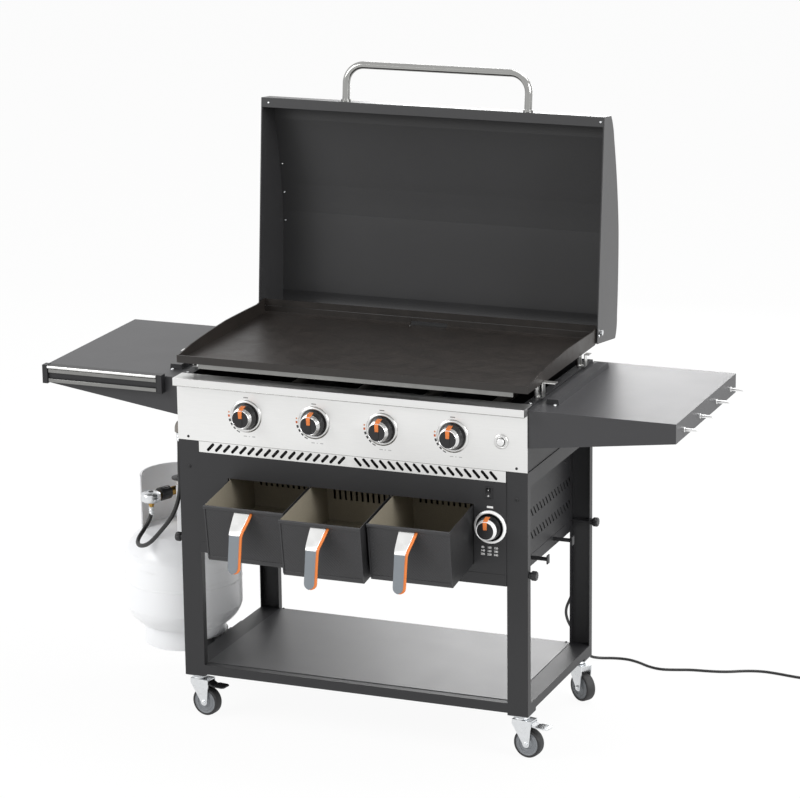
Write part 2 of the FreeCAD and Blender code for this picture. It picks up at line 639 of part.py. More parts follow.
def control_panel():
    """Stainless front: a stepped sheet with shaft holes and a strip of slanted slots."""
    body = new_body("ControlPanel")
    face = "-gauge"
    pad(body, "PanelSheet", "YZ", [folded([
        (face, "box_floor"), (face, "step_low"), ("-step_reach", "step_low"),
        ("-step_reach", "box_top + gauge"), ("panel_return", "box_top + gauge")], side=-1)],
        ("-frame_half", "frame_half"))
    cheek = frame("-step_reach", 0, "step_low", "box_top")
    pad(body, "LeftCheek", "YZ", [cheek], ("-frame_half", "-frame_half + gauge"))
    pad(body, "RightCheek", "YZ", [cheek], ("frame_half - gauge", "frame_half"))
    pad(body, "LowerStrip", "XZ", [frame("-strip_half", "strip_half", "strip_low",
                                         "box_floor")], (face, 0))
    holes = [("round", f"knob_{index}", "knob_level", "shaft_hole") for index in (1, 2, 3, 4)]
    holes.append(("round", "igniter_x", "igniter_z", "collar_hole"))
    pocket(body, "ShaftHoles", "XZ", holes, (face, 0))
    right = pocket(body, "RightSlot", "XZ", [slanted_slot(1)], (face, 0))
    repeat(body, right, "RightSlots", "X", "slot_pitch", "slot_count")
    left = pocket(body, "LeftSlot", "XZ", [slanted_slot(-1)], (face, 0))
    repeat(body, left, "LeftSlots", "X", "slot_pitch", "slot_count", back=True)
    publish(body, "control_panel")


KNOBS = {f"burner_knob_{index}": (f"knob_{index}", "knob_level") for index in (1, 2, 3, 4)}
KNOBS["fryer_knob"] = ("fryer_knob_x", "fryer_knob_z")


def knob_bezels():
    """Dished ring behind each knob, and the igniter's collar with its guide."""
    rings = []
    for label, (across, up) in KNOBS.items():
        ring = spin("Bezel" + label.title().replace("_", ""), "XY", "V_Axis", [
            ("bezel_bore", "-bezel_face"), ("skirt_radius + gauge", "-bezel_face"),
            ("bezel_crest", "-bezel_high"), ("bezel_radius", "-bezel_face"),
            ("bezel_radius", "-gauge"), ("bezel_bore", "-gauge")])
        ring.Placement = place(across, 0, up)
        rings.append(ring)
    collar = spin("IgniterCollar", "XY", "V_Axis", [
        ("collar_bore", "-collar_front"), ("collar_radius - gauge", "-collar_front"),
        ("collar_radius", "-bezel_face"), ("collar_radius", "-gauge"),
        ("sleeve_radius", "-gauge"), ("sleeve_radius", "sleeve_end"),
        ("button_stem + running_gap", "sleeve_end"),
        ("button_stem + running_gap", "guide_start"), ("collar_bore", "guide_start")])
    collar.Placement = place("igniter_x", 0, "igniter_z")
    publish(group("Bezels", rings + [collar]), "knob_bezels")


def knob(name):
    """Skirted knob with a raised ring round its face, a pointer blade and a round stem."""
    body = spin(name, "XY", "V_Axis", [
        (0, "-face_front"), ("face_radius", "-face_front"),
        ("face_radius + 1", "-ring_front"), ("ring_radius", "-ring_back"),
        ("waist_radius", "-waist_front"), ("skirt_radius", "-skirt_front"),
        ("skirt_radius", "-skirt_back"), ("stem_radius", "-skirt_back"),
        ("stem_radius", "stem_end"), (0, "stem_end")])
    pad(body, name + "Pointer", "YZ", [[
        ("-face_front + 1", "pointer_in"), ("-pointer_high", "pointer_in"),
        ("-pointer_high", "face_radius + 1"), ("-ring_back - gauge", "waist_radius"),
        ("-pointer_foot", "pointer_out"), ("-pointer_foot + gauge", "waist_radius"),
        ("-ring_back", "ring_radius - gauge")]], ("-pointer_half", "pointer_half"))
    return body


def controls():
    """Knobs, the igniter's push button and the fryer's rocker switch."""
    for label, (across, up) in KNOBS.items():
        publish(knob("Knob" + label.title().replace("_", "")), label, place(across, 0, up))
    button = spin("Igniter", "XY", "V_Axis", [
        (0, "-button_front"), ("button_radius - gauge", "-button_front"),
        ("button_radius", "-button_front + gauge"), ("button_radius", 0),
        ("button_stem", 0), ("button_stem", "button_end"), (0, "button_end")])
    publish(button, "igniter_button", place("igniter_x", 0, "igniter_z"))
    rocker = extruded("Rocker", "YZ", [[
        ("-rocker_face", "-rocker_tall"), ("-rocker_dip", 0), ("-rocker_face", "rocker_tall"),
        ("-rocker_heel", "rocker_tall"), ("rocker_half", "rocker_foot"),
        ("rocker_half", "-rocker_foot"), ("-rocker_heel", "-rocker_tall")]],
        ("-rocker_half", "rocker_half"))
    pad(rocker, "RockerPin", "YZ", [("round", "rocker_pivot", 0, "rocker_pin")],
        ("-rocker_pin_half", "rocker_pin_half"))
    publish(rocker, "rocker_switch", place("switch_x", 0, "switch_z"))


def gas_train():
    """Manifold pipe with four valves, and the four burner tubes behind them."""
    pieces = [bent_bar("ManifoldPipe", [
        ("pipe_right", "pipe_back", "knob_level"), ("pipe_left", "pipe_back", "knob_level"),
        ("pipe_left", "pipe_back", "inlet_level"), ("inlet_x", "pipe_back", "inlet_level"),
        ("inlet_x", "pipe_back", "inlet_foot")], "pipe_radius", "pipe_bend", LEAD_SIDES)]
    for index in (1, 2, 3, 4):
        valve = box(f"Valve{index}", (f"knob_{index} - valve_half", f"knob_{index} + valve_half"),
                    (0, "valve_depth"), ("knob_level - valve_tall", "knob_level + valve_tall"))
        bore = rod(f"ValveBore{index}", "Y", (f"knob_{index}", "knob_level"),
                   "stem_radius + running_gap", (-1, "stem_end + plate_wall"))
        pieces.append(cut(f"BoredValve{index}", valve, bore))
    publish(fuse("Manifold", pieces), "gas_manifold")
    tubes = []
    for index in (1, 2, 3, 4):
        tube = spin(f"BurnerTube{index}", "XY", "V_Axis", [
            (0, "box_depth - gauge"), ("tube_radius", "box_depth - gauge"),
            ("tube_radius", "tube_start"), ("tube_radius - gauge", "tube_start"),
            ("tube_radius - gauge", "box_depth - 2 * gauge"), (0, "box_depth - 2 * gauge")])
        tube.Placement = place(f"knob_{index}", 0, "knob_level")
        tubes.append(tube)
    publish(group("BurnerTubes", tubes), "burner_tubes")


def plate_supports():
    """Four posts that carry the plate, each with the bright strip that locates it."""
    pieces = []
    for end in ("front", "rear"):
        level = f"{end}_locator - gauge"
        for side, sign in (("Left", -1), ("Right", 1)):
            name = end.title() + side
            strip = folded([(f"{sign} * post_x", "box_top"), (f"{sign} * locator_x", "box_top"),
                            (f"{sign} * locator_x", level), (f"{sign} * {end}_arm", level)],
                           side=sign)
            bracket = extruded("Locator" + name, "XZ", [strip], (
                f"post_{end} - locator_half", f"post_{end} + locator_half"))
            post = rod("Post" + name, "Z", (f"{sign} * post_x", f"post_{end}"), "post_radius",
                       ("box_top", "plate_bottom"))
            pieces.append(fuse("Support" + name, [bracket, post]))
    publish(group("PlateSupports", pieces), "plate_supports")


# The plate's side, as depth and height: its floor, the curl behind it and the swept wall
PLATE_SIDE = [
    ("plate_front", "plate_bottom"), (508, "plate_bottom"), (545, 947, 11.5), (545, 977),
    ("plate_rear", "rim_rear"), ("plate_rear - plate_wall", "rim_rear"), (489, 974.5, 0.6),
    (298, 977, 1.2), (85, 965), (20, "rim_front"), ("plate_front", "rim_front")]


def griddle_plate():
    """Plate with a low front wall, sweeping sides, a drain behind and a stiffener below."""
    body = new_body("GriddlePlate")
    pad(body, "PlateBlock", "YZ", [PLATE_SIDE], ("-plate_x", "plate_x"))
    inside = ("-plate_x + plate_wall", "plate_x - plate_wall")
    clear = "rim_rear + 10"
    pocket(body, "PlateInside", "XY", [frame(*inside, "plate_front + plate_wall",
                                             "plate_rear - plate_wall")], ("plate_floor", clear))
    pocket(body, "BehindPlate", "XY", [frame(*inside, "plate_rear", "cup_rear")],
           ("stiffener_low", clear))
    pocket(body, "DrainSlot", "XZ", [frame("drain_left", "drain_right", "plate_floor",
                                           "drain_top")],
           ("plate_rear - plate_wall", "plate_rear"))
    pad(body, "DrainSpout", "YZ", [[
        ("plate_rear - 1", "plate_floor - plate_wall"), ("spout_reach", "plate_bottom"),
        ("spout_reach", "plate_bottom + gauge"), ("plate_rear - 1", "plate_floor - 1")]],
        ("drain_left", "drain_right"))
    hinge = hinge_spot()
    pocket(body, "BoltHoles", "YZ", [("round", hinge[0], hinge[1], "hinge_bolt")],
           ("-plate_x", "plate_x"))
    pad(body, "Stiffener", "YZ", [frame("stiffener_front", "stiffener_back", "stiffener_low",
                                        "plate_bottom")], ("stiffener_left", "stiffener_right"))
    publish(body, "griddle_plate")
    bolts = []
    for word, sign in (("Left", -1), ("Right", 1)):
        seat, head = "(hood_half + race_gap)", "(hood_half + bolt_head_reach)"
        bolts.append(spin("HingeBolt" + word, "XY", "H_Axis", [
            (f"{sign} * (plate_x - plate_wall)", 0),
            (f"{sign} * (plate_x - plate_wall)", "hinge_bolt"),
            (f"{sign} * {seat}", "hinge_bolt"), (f"{sign} * {seat}", "bolt_head"),
            (f"{sign} * {head}", "bolt_head"), (f"{sign} * {head}", 0)]))
        bolts[-1].Placement = place(0, hinge[0], hinge[1])
    publish(group("HingeBolts", bolts), "hinge_bolts")


def hinge_spot():
    """The hood's hinge line as depth and height expressions in the cart's frame."""
    lean = "hood_lean * 1deg"
    back = f"hood_back + hinge_back * cos({lean}) - hinge_drop * sin({lean})"
    up = f"hood_foot - hinge_drop * cos({lean}) - hinge_back * sin({lean})"
    return back, up


# Depths of the four tool pegs on the right table's end
PEGS = (60, 189, 330, 453)

# The hood's cross-section, as distance back from its opening and height above its foot
CROWN = [(62, -36.4), (156, -39, 5), (165, 18, 3), (153, 231, 1), (139, 307, 3), (87, 482, 4),
         (56, "hood_height"), (2, "hood_height")]


def hood():
    """Curved shell with a turned front lip, two end caps and a tubular handle."""
    leaning = place(0, "hood_back", "hood_foot", "X", "-hood_lean")
    shell = extruded("HoodShell", "YZ", [folded(CROWN + [(2, "hood_height - lip_drop")])],
                     ("-hood_half + cap_wall", "hood_half - cap_wall"))
    publish(shell, "hood_shell", leaning)
    outline = [(10, -35), (46, -36)] + CROWN[1:]
    hole = ("round", "hinge_back", "-hinge_drop", "hinge_bolt + running_gap")
    for word, low, high in (("left", "-hood_half", "-hood_half + cap_wall"),
                            ("right", "hood_half - cap_wall", "hood_half")):
        cap = extruded("HoodEnd" + word.title(), "YZ", [outline, hole], (low, high))
        publish(cap, "hood_end_" + word, leaning)
    crest = "hood_height + handle_rise"
    bar = bent_bar("HandleTube", [
        ("handle_left", "handle_back", "hood_height"), ("handle_left", "handle_back", crest),
        ("handle_right", "handle_back", crest), ("handle_right", "handle_back", "hood_height")],
        "handle_radius", "handle_bend")
    feet = [rod(f"HandleFoot{word}", "Z", (f"handle_{word}", "handle_back"),
                "handle_radius + cap_wall", ("hood_height", "hood_height + handle_foot"))
            for word in ("left", "right")]
    publish(fuse("HoodHandle", [bar] + feet), "hood_handle", leaning)


def side_table(word, sign):
    """Folded table top with tapering skirts, open below, and a ridge along its inner edge."""
    inner, outer = f"{sign} * table_in", f"{sign} * table_out"
    low_in, low_out, top = f"{word}_low_in", f"{word}_low_out", f"{word}_top"
    front, rear = f"{word}_front", f"{word}_rear"
    body = extruded("Table" + word.title(), "XZ", [[
        (inner, low_in), (outer, low_out), (outer, top), (inner, top)]], (front, rear))
    step = f"{sign} * gauge"
    pocket(body, "TableUnderside" + word.title(), "XZ", [[
        (f"{inner} + {step}", f"{low_in} - 30"), (f"{outer} - {step}", f"{low_out} - 30"),
        (f"{outer} - {step}", f"{top} - gauge"), (f"{inner} + {step}", f"{top} - gauge")]],
        (f"{front} + gauge", f"{rear} - gauge"))
    pad(body, "TableRidge" + word.title(), "XZ", [[
        (f"{sign} * ridge_in", f"{top} - gauge"), (f"{sign} * ridge_out", f"{top} - gauge"),
        (f"{sign} * (ridge_out - ridge_taper)", f"{top} + ridge_rise"),
        (f"{sign} * (ridge_in + ridge_taper)", f"{top} + ridge_rise")]], ("ridge_front", "ridge_rear"))
    publish(body, "shelf_" + word)


def tables():
    """Both side tables, the tool strip on the left and the tool pegs on the right."""
    side_table("right", 1)
    side_table("left", -1)
    top_lip = "-strip_depth - strip_lip"
    holder = extruded("StripHolder", "YZ", [[
        (0, "strip_foot"), ("-strip_depth", "strip_foot"), ("-strip_depth", "strip_top"),
        (top_lip, "strip_top"), (top_lip, "strip_top + gauge"), (0, "strip_top + gauge")]],
        ("strip_left + gauge", "strip_right - gauge"))
    bars = [box(f"StripBar{word.title()}", ("bar_left", "bar_right"),
                ("-bar_reach", "-strip_depth"), (f"bar_{word}", f"bar_{word} + bar_height"))
            for word in ("low", "high")]
    caps = [box(f"StripEnd{index}", span, (f"{top_lip} + 1", 0),
                ("strip_foot - gauge", "strip_top + cap_wall"))
            for index, span in enumerate((("strip_left", "strip_left + strip_cap"),
                                          ("strip_right - strip_cap", "strip_right")))]
    whole = fuse("StripCase", [holder] + caps)
    publish(group("ToolStrip", [whole] + bars), "tool_strip")
    pegs = []
    for index, back in enumerate(PEGS):
        peg = spin(f"Peg{index}", "XY", "H_Axis", [
            ("table_out", 0), ("table_out", "peg_flange"),
            ("table_out + peg_flange_depth", "peg_flange"),
            ("table_out + peg_flange_depth", "peg_radius"),
            ("table_out + peg_reach - gauge", "peg_radius"),
            ("table_out + peg_reach", "peg_radius - gauge"), ("table_out + peg_reach", 0)])
        peg.Placement = place(0, back, "peg_level")
        pegs.append(peg)
    publish(group("ToolPegs", pegs), "tool_hooks")


def fryer_casing():
    """Casing with louvred sides, its fan motor inside and two bars outside to wind the lead."""
    body = new_body("FryerCasing")
    pad(body, "CasingBlock", "XY", [frame("-casing_half", "casing_half", 0, "casing_rear")],
        ("casing_low", "casing_top"))
    pocket(body, "CasingInside", "XZ", [frame(
        "-casing_half + gauge", "casing_half - gauge", "casing_low + gauge",
        "casing_top - gauge")], (0, "casing_rear - gauge"))
    for word in ("upper", "lower"):
        high = f"louvre_{word} + louvre_rise"
        low = f"louvre_{word} - louvre_rise"
        louvre = pocket(body, word.title() + "Louvre", "YZ", [[
            ("louvre_first", high), ("louvre_first + louvre_width", high),
            ("louvre_first + louvre_width + louvre_lean", low),
            ("louvre_first + louvre_lean", low)]], ("-casing_half", "casing_half"))
        repeat(body, louvre, word.title() + "Louvres", "Y", "louvre_pitch", "louvre_count")
    pocket(body, "ScrewHoles", "YZ", [
        ("round", "screw_front", "screw_level", "screw_way"),
        ("round", "screw_rear", "screw_level", "screw_way")], ("-casing_half", "casing_half"))
    pad(body, "Motor", "XZ", [("round", 0, "fan_z", "motor_radius")],
        ("motor_front", "casing_rear - 1"))
    pad(body, "MotorShaft", "XZ", [("round", 0, "fan_z", "stem_radius")],
        ("shaft_front", "motor_front"))
    for word in ("front", "rear"):
        back, up = f"winder_{word}", f"winder_{word}_z"
        pad(body, word.title() + "Winder", "YZ", [("round", back, up, "winder_radius")],
            ("casing_half", "winder_end"))
        pad(body, word.title() + "WinderEnd", "YZ", [frame(
            f"{back} - winder_half", f"{back} + winder_half", f"{up} - winder_tall",
            f"{up} + winder_tall")], ("winder_end", "winder_end + winder_plate"))
    publish(body, "fryer_housing")


def fryer_front():
    """Front plate with the drawer opening, the switch rim and the control block behind."""
    body = new_body("FryerFascia")
    ways = ("switch_x - switch_half", "switch_x + switch_half", "switch_z - switch_tall",
            "switch_z + switch_tall")
    pad(body, "FasciaSheet", "XZ", [
        frame("-strip_half", "strip_half", "casing_low", "strip_low - floor_gap"),
        frame("bay_left", "bay_right", "bay_low", "bay_high"), frame(*ways),
        ("round", "fryer_knob_x", "fryer_knob_z", "shaft_hole")], ("-gauge", 0))
    rim = [f"{way} {sign} switch_rim" for way, sign in zip(ways, "-+-+")]
    pad(body, "SwitchRim", "XZ", [frame(*rim), frame(*ways)], ("-gauge - pan_wall", "-gauge"))
    pad(body, "ControlBlock", "XZ", [
        frame("fryer_knob_x - valve_half", "fryer_knob_x + valve_half",
              "fryer_knob_z - valve_half", "fryer_knob_z + valve_half"),
        ("round", "fryer_knob_x", "fryer_knob_z", "stem_radius + running_gap")],
        (0, "sleeve_end"))
    for word, near, far in (("Left", "-switch_half - ear_wall", "-switch_half"),
                            ("Right", "switch_half", "switch_half + ear_wall")):
        pad(body, word + "SwitchEar", "YZ", [
            frame(0, "bezel_bore", "switch_z - ear_half", "switch_z + ear_half"),
            ("round", "rocker_pivot", "switch_z", "rocker_pin + running_gap")],
            (f"switch_x + {near}", f"switch_x + {far}"))
    publish(body, "fryer_fascia")


def incline(extra=0):
    """The frame of the drawers: level at the fascia, rising towards the back."""
    tilted = place(0, 0, "drawer_level", "X", "drawer_slope")
    return tilted.multiply(place(0, extra, 0))


def fryer_liner():
    """Cavity of three bays, inclined like the drawers that run in it."""
    floor = "-drawer_height - floor_gap - gauge"
    slant = "tan(drawer_slope * 1deg)"
    body = extruded("Liner", "YZ", [[
        (f"({floor}) * {slant}", floor), ("liner_rear", floor), ("liner_rear", "liner_top"),
        (f"liner_top * {slant}", "liner_top")]], ("liner_left", "liner_right"))
    for index in (1, 2, 3):
        reach = "drawer_half + bay_gap"
        pocket(body, f"Bay{index}", "YZ", [frame(
            "-2 * leg_flange", "liner_rear - gauge", "-drawer_height - floor_gap", "gauge")],
            (f"drawer_{index} - ({reach})", f"drawer_{index} + ({reach})"))
    publish(body, "fryer_liner", incline())


def pan(index, word, pulled):
    """Deep pan of one drawer, with a slotted rear wall."""
    low, high = f"drawer_{index} - drawer_half", f"drawer_{index} + drawer_half"
    body = new_body("Pan" + word)
    pad(body, "PanBlock" + word, "XY", [frame(low, high, 0, "drawer_depth")],
        ("-drawer_height", 0))
    pocket(body, "PanInside" + word, "XY", [frame(
        f"{low} + pan_wall", f"{high} - pan_wall", "pan_wall", "drawer_depth - pan_wall")],
        ("-drawer_height + pan_wall", 0))
    vent = pocket(body, "Vent" + word, "XZ", [frame(
        f"{low} + vent_first", f"{low} + vent_first + vent_width", "vent_low", "vent_high")],
        ("drawer_depth - pan_wall", "drawer_depth"))
    repeat(body, vent, "Vents" + word, "X", "vent_pitch", "vent_count")
    publish(body, f"drawer_{word.lower()}_pan", pulled)


def handle(index, word, pulled):
    """Folded handle blade that tapers from its root to a round tip."""
    centre = f"drawer_{index}"
    side = extruded("HandleSide" + word, "YZ", [folded([
        (0, "-tab_root"), ("-tab_elbow_out", "-tab_elbow_drop"),
        ("-tab_tip_out", "-tab_tip_drop")], side=1, wall="tab_wall")],
        (f"{centre} - tab_half", f"{centre} + tab_half"))
    face = extruded("HandleFace" + word, "XZ", [[
        (f"{centre} - tab_half", "-gauge"), (f"{centre} - tab_half", "-tab_neck"),
        (f"{centre} - tab_tip_half", "-tab_elbow_drop"),
        (f"{centre} - tab_tip_half", "-tab_round_drop", "tab_round"),
        (f"{centre} + tab_tip_half", "-tab_round_drop"),
        (f"{centre} + tab_tip_half", "-tab_elbow_drop"),
        (f"{centre} + tab_half", "-tab_neck"), (f"{centre} + tab_half", "-gauge")]],
        ("-tab_reach", "-running_gap"))
    blade = doc.addObject("Part::Common", "Blade" + word)
    blade.Base = side
    blade.Tool = face
    publish(blade, f"drawer_{word.lower()}_handle", pulled)


def tray(index, word, pulled):
    """Slotted tray on four feet in the bottom of a pan."""
    low, high = f"drawer_{index} - drawer_half", f"drawer_{index} + drawer_half"
    body = new_body("Tray" + word)
    sheet_span = ("tray_level", "tray_level + pan_wall")
    pad(body, "TraySheet" + word, "XY", [frame(
        f"{low} + 2 * pan_wall", f"{high} - 2 * pan_wall", "tray_edge",
        "drawer_depth - tray_edge")], sheet_span)
    first, last = f"{low} + tray_slot_first", f"{low} + tray_slot_first + vent_width"
    slot = pocket(body, "TraySlot" + word, "XY", [
        frame(first, last, f"tray_slot_{end}", f"tray_slot_{end} + tray_slot_length")
        for end in ("front", "rear")], sheet_span)
    repeat(body, slot, "TraySlots" + word, "X", "vent_pitch", "tray_slots")
    pad(body, "TrayFeet" + word, "XY", [
        frame(f"drawer_{index} + tray_foot_{side}",
              f"drawer_{index} + tray_foot_{side} + tray_foot_width",
              f"tray_foot_{end}", f"tray_foot_{end} + tray_foot_depth")
        for side in ("left", "right") for end in ("front", "rear")],
        ("-drawer_height + pan_wall", "tray_level"))
    publish(body, f"drawer_{word.lower()}_tray", pulled)


def drawers():
    """Three drawers side by side, each pulled out by its own amount, two with trays."""
    for index, word in enumerate(("Left", "Middle", "Right"), 1):
        pulled = incline(f"-pull_{index}")
        pan(index, word, pulled)
        handle(index, word, pulled)
        if word != "Right":
            tray(index, word, pulled)


def fan_wheel():
    """Flat fan on the motor shaft: a hub, a back disc and its blades."""
    body = new_body("FanWheel")
    bore = ("round", 0, 0, "stem_radius + running_gap")
    pad(body, "FanHub", "XZ", [("round", 0, 0, "fan_hub"), bore], ("fan_front", "fan_rear"))
    pad(body, "FanDisc", "XZ", [("round", 0, 0, "fan_radius"), bore], ("fan_disc", "fan_rear"))
    tip = "fan_radius - 4"
    blade = pad(body, "FanBlade", "XZ", [[
        ("fan_hub - gauge", "-gauge / 2"), (tip, "fan_sweep"), (tip, "fan_sweep + gauge"),
        ("fan_hub - gauge", "gauge / 2")]],
        ("fan_front + gauge", "fan_disc + 1"))
    ring = body.newObject("PartDesign::PolarPattern", "FanBlades")
    ring.Originals = [blade]
    line = next(part for part in body.Origin.OriginFeatures if part.Role == "Y_Axis")
    ring.Axis = (line, [""])
    ring.Angle = 360
    bind(ring, "Occurrences", "fan_blades")
    body.Tip = ring
    publish(body, "fan_wheel", place(0, 0, "fan_z"))


def thumb_knobs():
    """Hand screws through the legs into the fryer casing."""
    knobs = []
    for side, sign in (("Left", -1), ("Right", 1)):
        for end in ("front", "rear"):
            screw = spin(f"ThumbKnob{side}{end.title()}", "XY", "H_Axis", [
                (f"{sign} * screw_tip", 0), (f"{sign} * screw_tip", "screw_shank"),
                (f"{sign} * frame_half", "screw_shank"), (f"{sign} * frame_half", "thumb_collar"),
                (f"{sign} * thumb_start", "thumb_collar"), (f"{sign} * thumb_start", "thumb_radius"),
                (f"{sign} * thumb_end", "thumb_radius"), (f"{sign} * thumb_end", 0)])
            screw.Placement = place(0, f"screw_{end}", "screw_level")
            knobs.append(screw)
    publish(group("ThumbKnobs", knobs), "thumb_knobs")


def grease_cup():
    """Cup with a rim that hangs on the rails behind the burner box."""
    body = new_body("GreaseCup")
    top = "cup_rim + gauge"
    pad(body, "CupBlock", "XY", [frame("-cup_half", "cup_half", "cup_front", "cup_rear")],
        ("cup_low", "cup_rim"))
    pad(body, "CupRim", "XY", [frame("-cup_rim_half", "cup_rim_half", "cup_front", "cup_rear")],
        ("cup_rim", top))
    pocket(body, "CupInside", "XY", [frame(
        "-cup_half + cup_wall", "cup_half - cup_wall", "cup_front + cup_wall",
        "cup_rear - cup_wall")], ("cup_low + cup_wall", top))
    publish(body, "grease_cup")


def cylinder():
    """Hollow gas cylinder: domed body, foot ring, open collar and its valve."""
    shoulder, side = "shoulder_radius - tank_wall / 2", "tank_radius - tank_wall"
    shell = spin("TankBody", "XZ", "V_Axis", [
        (0, "dome_foot"), ("shoulder_radius", "dome_low", "dome_swell"),
        ("tank_radius", "side_low"), ("tank_radius", "side_high", "dome_swell"),
        ("shoulder_radius", "dome_high"), (0, "dome_top"), (0, "dome_top - tank_wall"),
        (shoulder, "dome_high - tank_wall", "-dome_swell"), (side, "side_high"),
        (side, "side_low", "-dome_swell"), (shoulder, "dome_low + tank_wall"),
        (0, "dome_foot + tank_wall")])
    ring = spin("FootRing", "XZ", "V_Axis", [
        ("foot_ring - ring_wall", "tank_low"), ("foot_ring", "tank_low"),
        ("foot_ring", "dome_low + gauge"), ("foot_ring - ring_wall", "dome_low")])
    outer = rod("CollarOuter", "Z", (0, 0), "foot_ring", ("dome_high - 5", "collar_top"),
                SIZES["collar_sweep"])
    bore = rod("CollarBore", "Z", (0, 0), "foot_ring - collar_wall",
               ("dome_high - 6", "collar_top + 1"))
    collar = cut("Collar", outer, bore)
    ports = fuse("CollarPorts", [
        rod("CollarHole", "Y", (0, "port_level"), "collar_port",
            ("-1.2 * foot_ring", "-0.75 * foot_ring")),
        box("CollarGrip", ("-grip_half", "grip_half"), ("0.8 * foot_ring", "1.1 * foot_ring"),
            ("grip_low", "grip_high"))])
    collar.Placement = place(0, 0, 0, "Z", "collar_turn")
    pierced = cut("PiercedCollar", collar, ports)
    valve = rod("ValveBody", "Z", (0, 0), "valve_radius", ("dome_top - tank_wall", "valve_top"))
    outlet = spin("ValveOutlet", "XY", "H_Axis", [
        (0, 0), (0, "outlet_radius"), ("outlet_reach", "outlet_radius"), ("outlet_reach", 0)])
    outlet.Placement = place(0, 0, "outlet_z", "Z", "outlet_turn")
    stem = rod("ValveStem", "Z", (0, 0), "wheel_stem", ("valve_top", "wheel_top - plate_wall"))
    place_tank = place("tank_x", "tank_y")
    publish(fuse("Tank", [shell, ring, pierced, valve, outlet, stem]), "lp_cylinder", place_tank)
    bore = "wheel_stem + running_gap"
    wheel = spin("HandWheel", "XZ", "V_Axis", [
        (bore, "wheel_low"), ("wheel_hub", "wheel_low"), ("wheel_hub", "wheel_low + plate_wall"),
        ("wheel_rim - gauge", "wheel_low + plate_wall"), ("wheel_rim", "wheel_top - 6"),
        ("wheel_rim - gauge", "wheel_top - gauge"), ("wheel_hub", "wheel_top - gauge"),
        ("wheel_hub", "wheel_top"), (bore, "wheel_top")])
    publish(wheel, "cylinder_handwheel", place_tank)


def gas_hose():
    """Regulator on the cylinder's outlet and the hose up to the manifold."""
    nut = spin("RegulatorNut", "XY", "H_Axis", [
        ("outlet_reach", 0), ("outlet_reach", "nut_size"), ("nut_end", "nut_size"),
        ("neck_start", "neck_size"), ("neck_end", "neck_size"), ("neck_end", 0)])
    bell = rod("RegulatorBody", "Z", ("bell_reach", 0), "bell_radius", ("-bell_half", "bell_half"))
    barb = rod("RegulatorBarb", "Z", ("bell_reach", 0), "barb_radius",
               ("-barb_drop", "-bell_half"))
    publish(fuse("RegulatorParts", [nut, bell, barb]), "regulator",
            place("tank_x", "tank_y", "outlet_z", "Z", "outlet_turn"))
    turn = "outlet_turn * 1deg"
    start_x = f"tank_x + bell_reach * cos({turn})"
    start_y = f"tank_y + bell_reach * sin({turn})"
    start = [(start_x, start_y, "outlet_z - barb_drop"),
             (start_x, start_y, "outlet_z - 2 * barb_drop")]
    publish(lead("Hose", start + HOSE_ROUTE, "hose_radius"), "gas_hose")


def cylinder_holder():
    """Cradle on the left foot rail: a ledge and an upstand round part of the foot ring."""
    outside = "foot_ring + cradle_gap"
    foot, rim = "tank_low - cradle_ledge", "tank_low + cradle_wall"
    ledge = rod("CradleLedge", "Z", ("tank_x", "tank_y"), outside, (foot, "tank_low"),
                SIZES["cradle_sweep"])
    upstand = rod("CradleWall", "Z", ("tank_x", "tank_y"), outside, ("tank_low", rim),
                  SIZES["cradle_sweep"])
    for piece in (ledge, upstand):
        piece.Placement.Rotation = FreeCAD.Rotation(AXES["Z"], -SIZES["cradle_sweep"] / 2)
    room = rod("CradleRoom", "Z", ("tank_x", "tank_y"), "cradle_bore",
               (f"{foot} - 1", "tank_low + 1"))
    ring_room = rod("RingRoom", "Z", ("tank_x", "tank_y"), "foot_ring",
                    ("tank_low", f"{rim} + 1"))
    arms = [box(f"CradleArm{end.title()}", ("tank_x + foot_ring - 1", "-frame_half"),
                (f"arm_{end}", f"arm_{end} + arm_width"), (foot, rim))
            for end in ("front", "rear")]
    plate = box("CradlePlate", ("-frame_half - cap_wall", "-frame_half"),
                ("cradle_plate_low", "cradle_plate_high"), (foot, "rail_top"))
    whole = fuse("CradleParts", [ledge, upstand, plate] + arms)
    rooms = fuse("CradleRooms", [room, ring_room])
    publish(cut("Cradle", whole, rooms), "cylinder_holder")


# Places that the hose passes, by hand, after its straight start under the regulator
HOSE_ROUTE = [
    (-651, 166, 434), (-655, 128, 414), (-632, 90, 410), (-592, 66, 426), (-550, 50, 469),
    (-506, 45, 522), (-487, 47, 585), (-490, 50, 645), ("inlet_x", "pipe_back", 694),
    ("inlet_x", "pipe_back", "inlet_foot"),
]

# Places that the mains lead passes, by hand, from its exit behind the fryer to the coil
CORD_ROUTE = [
    ("exit_x", "relief_end", "exit_z"), ("exit_x", 548, "exit_z"), (384.5, 571, 446),
    (385, 582, 420), (384, 585, 384), (393, 588, 345), (397, 592, 305), (387, 597, 262),
    (368, 604, 220), (351, 614, 184), (351, 630, 148), (362, 652, 113), (370, 682, 78),
    (372, 714, 42), (376, 742, 13), (398, 764, "cord_low"), (430, 776, "cord_low"),
    (468, 781, "cord_low"), (505, 768, "cord_low"), (540, 744, "cord_low"),
    (577, 733, "cord_low"), (614, 743, "cord_low"), (654, 758, "cord_low"),
    (702, 763, "cord_low"), (748, 774, "cord_low"), (790, 798, "cord_low"),
    (835, 811, "cord_low"), (882, 806, "cord_low"), (928, 797, "cord_low"),
    (967, "coil_y", "cord_low"), ("coil_x - 7.5", "coil_y", "cord_low"),
]


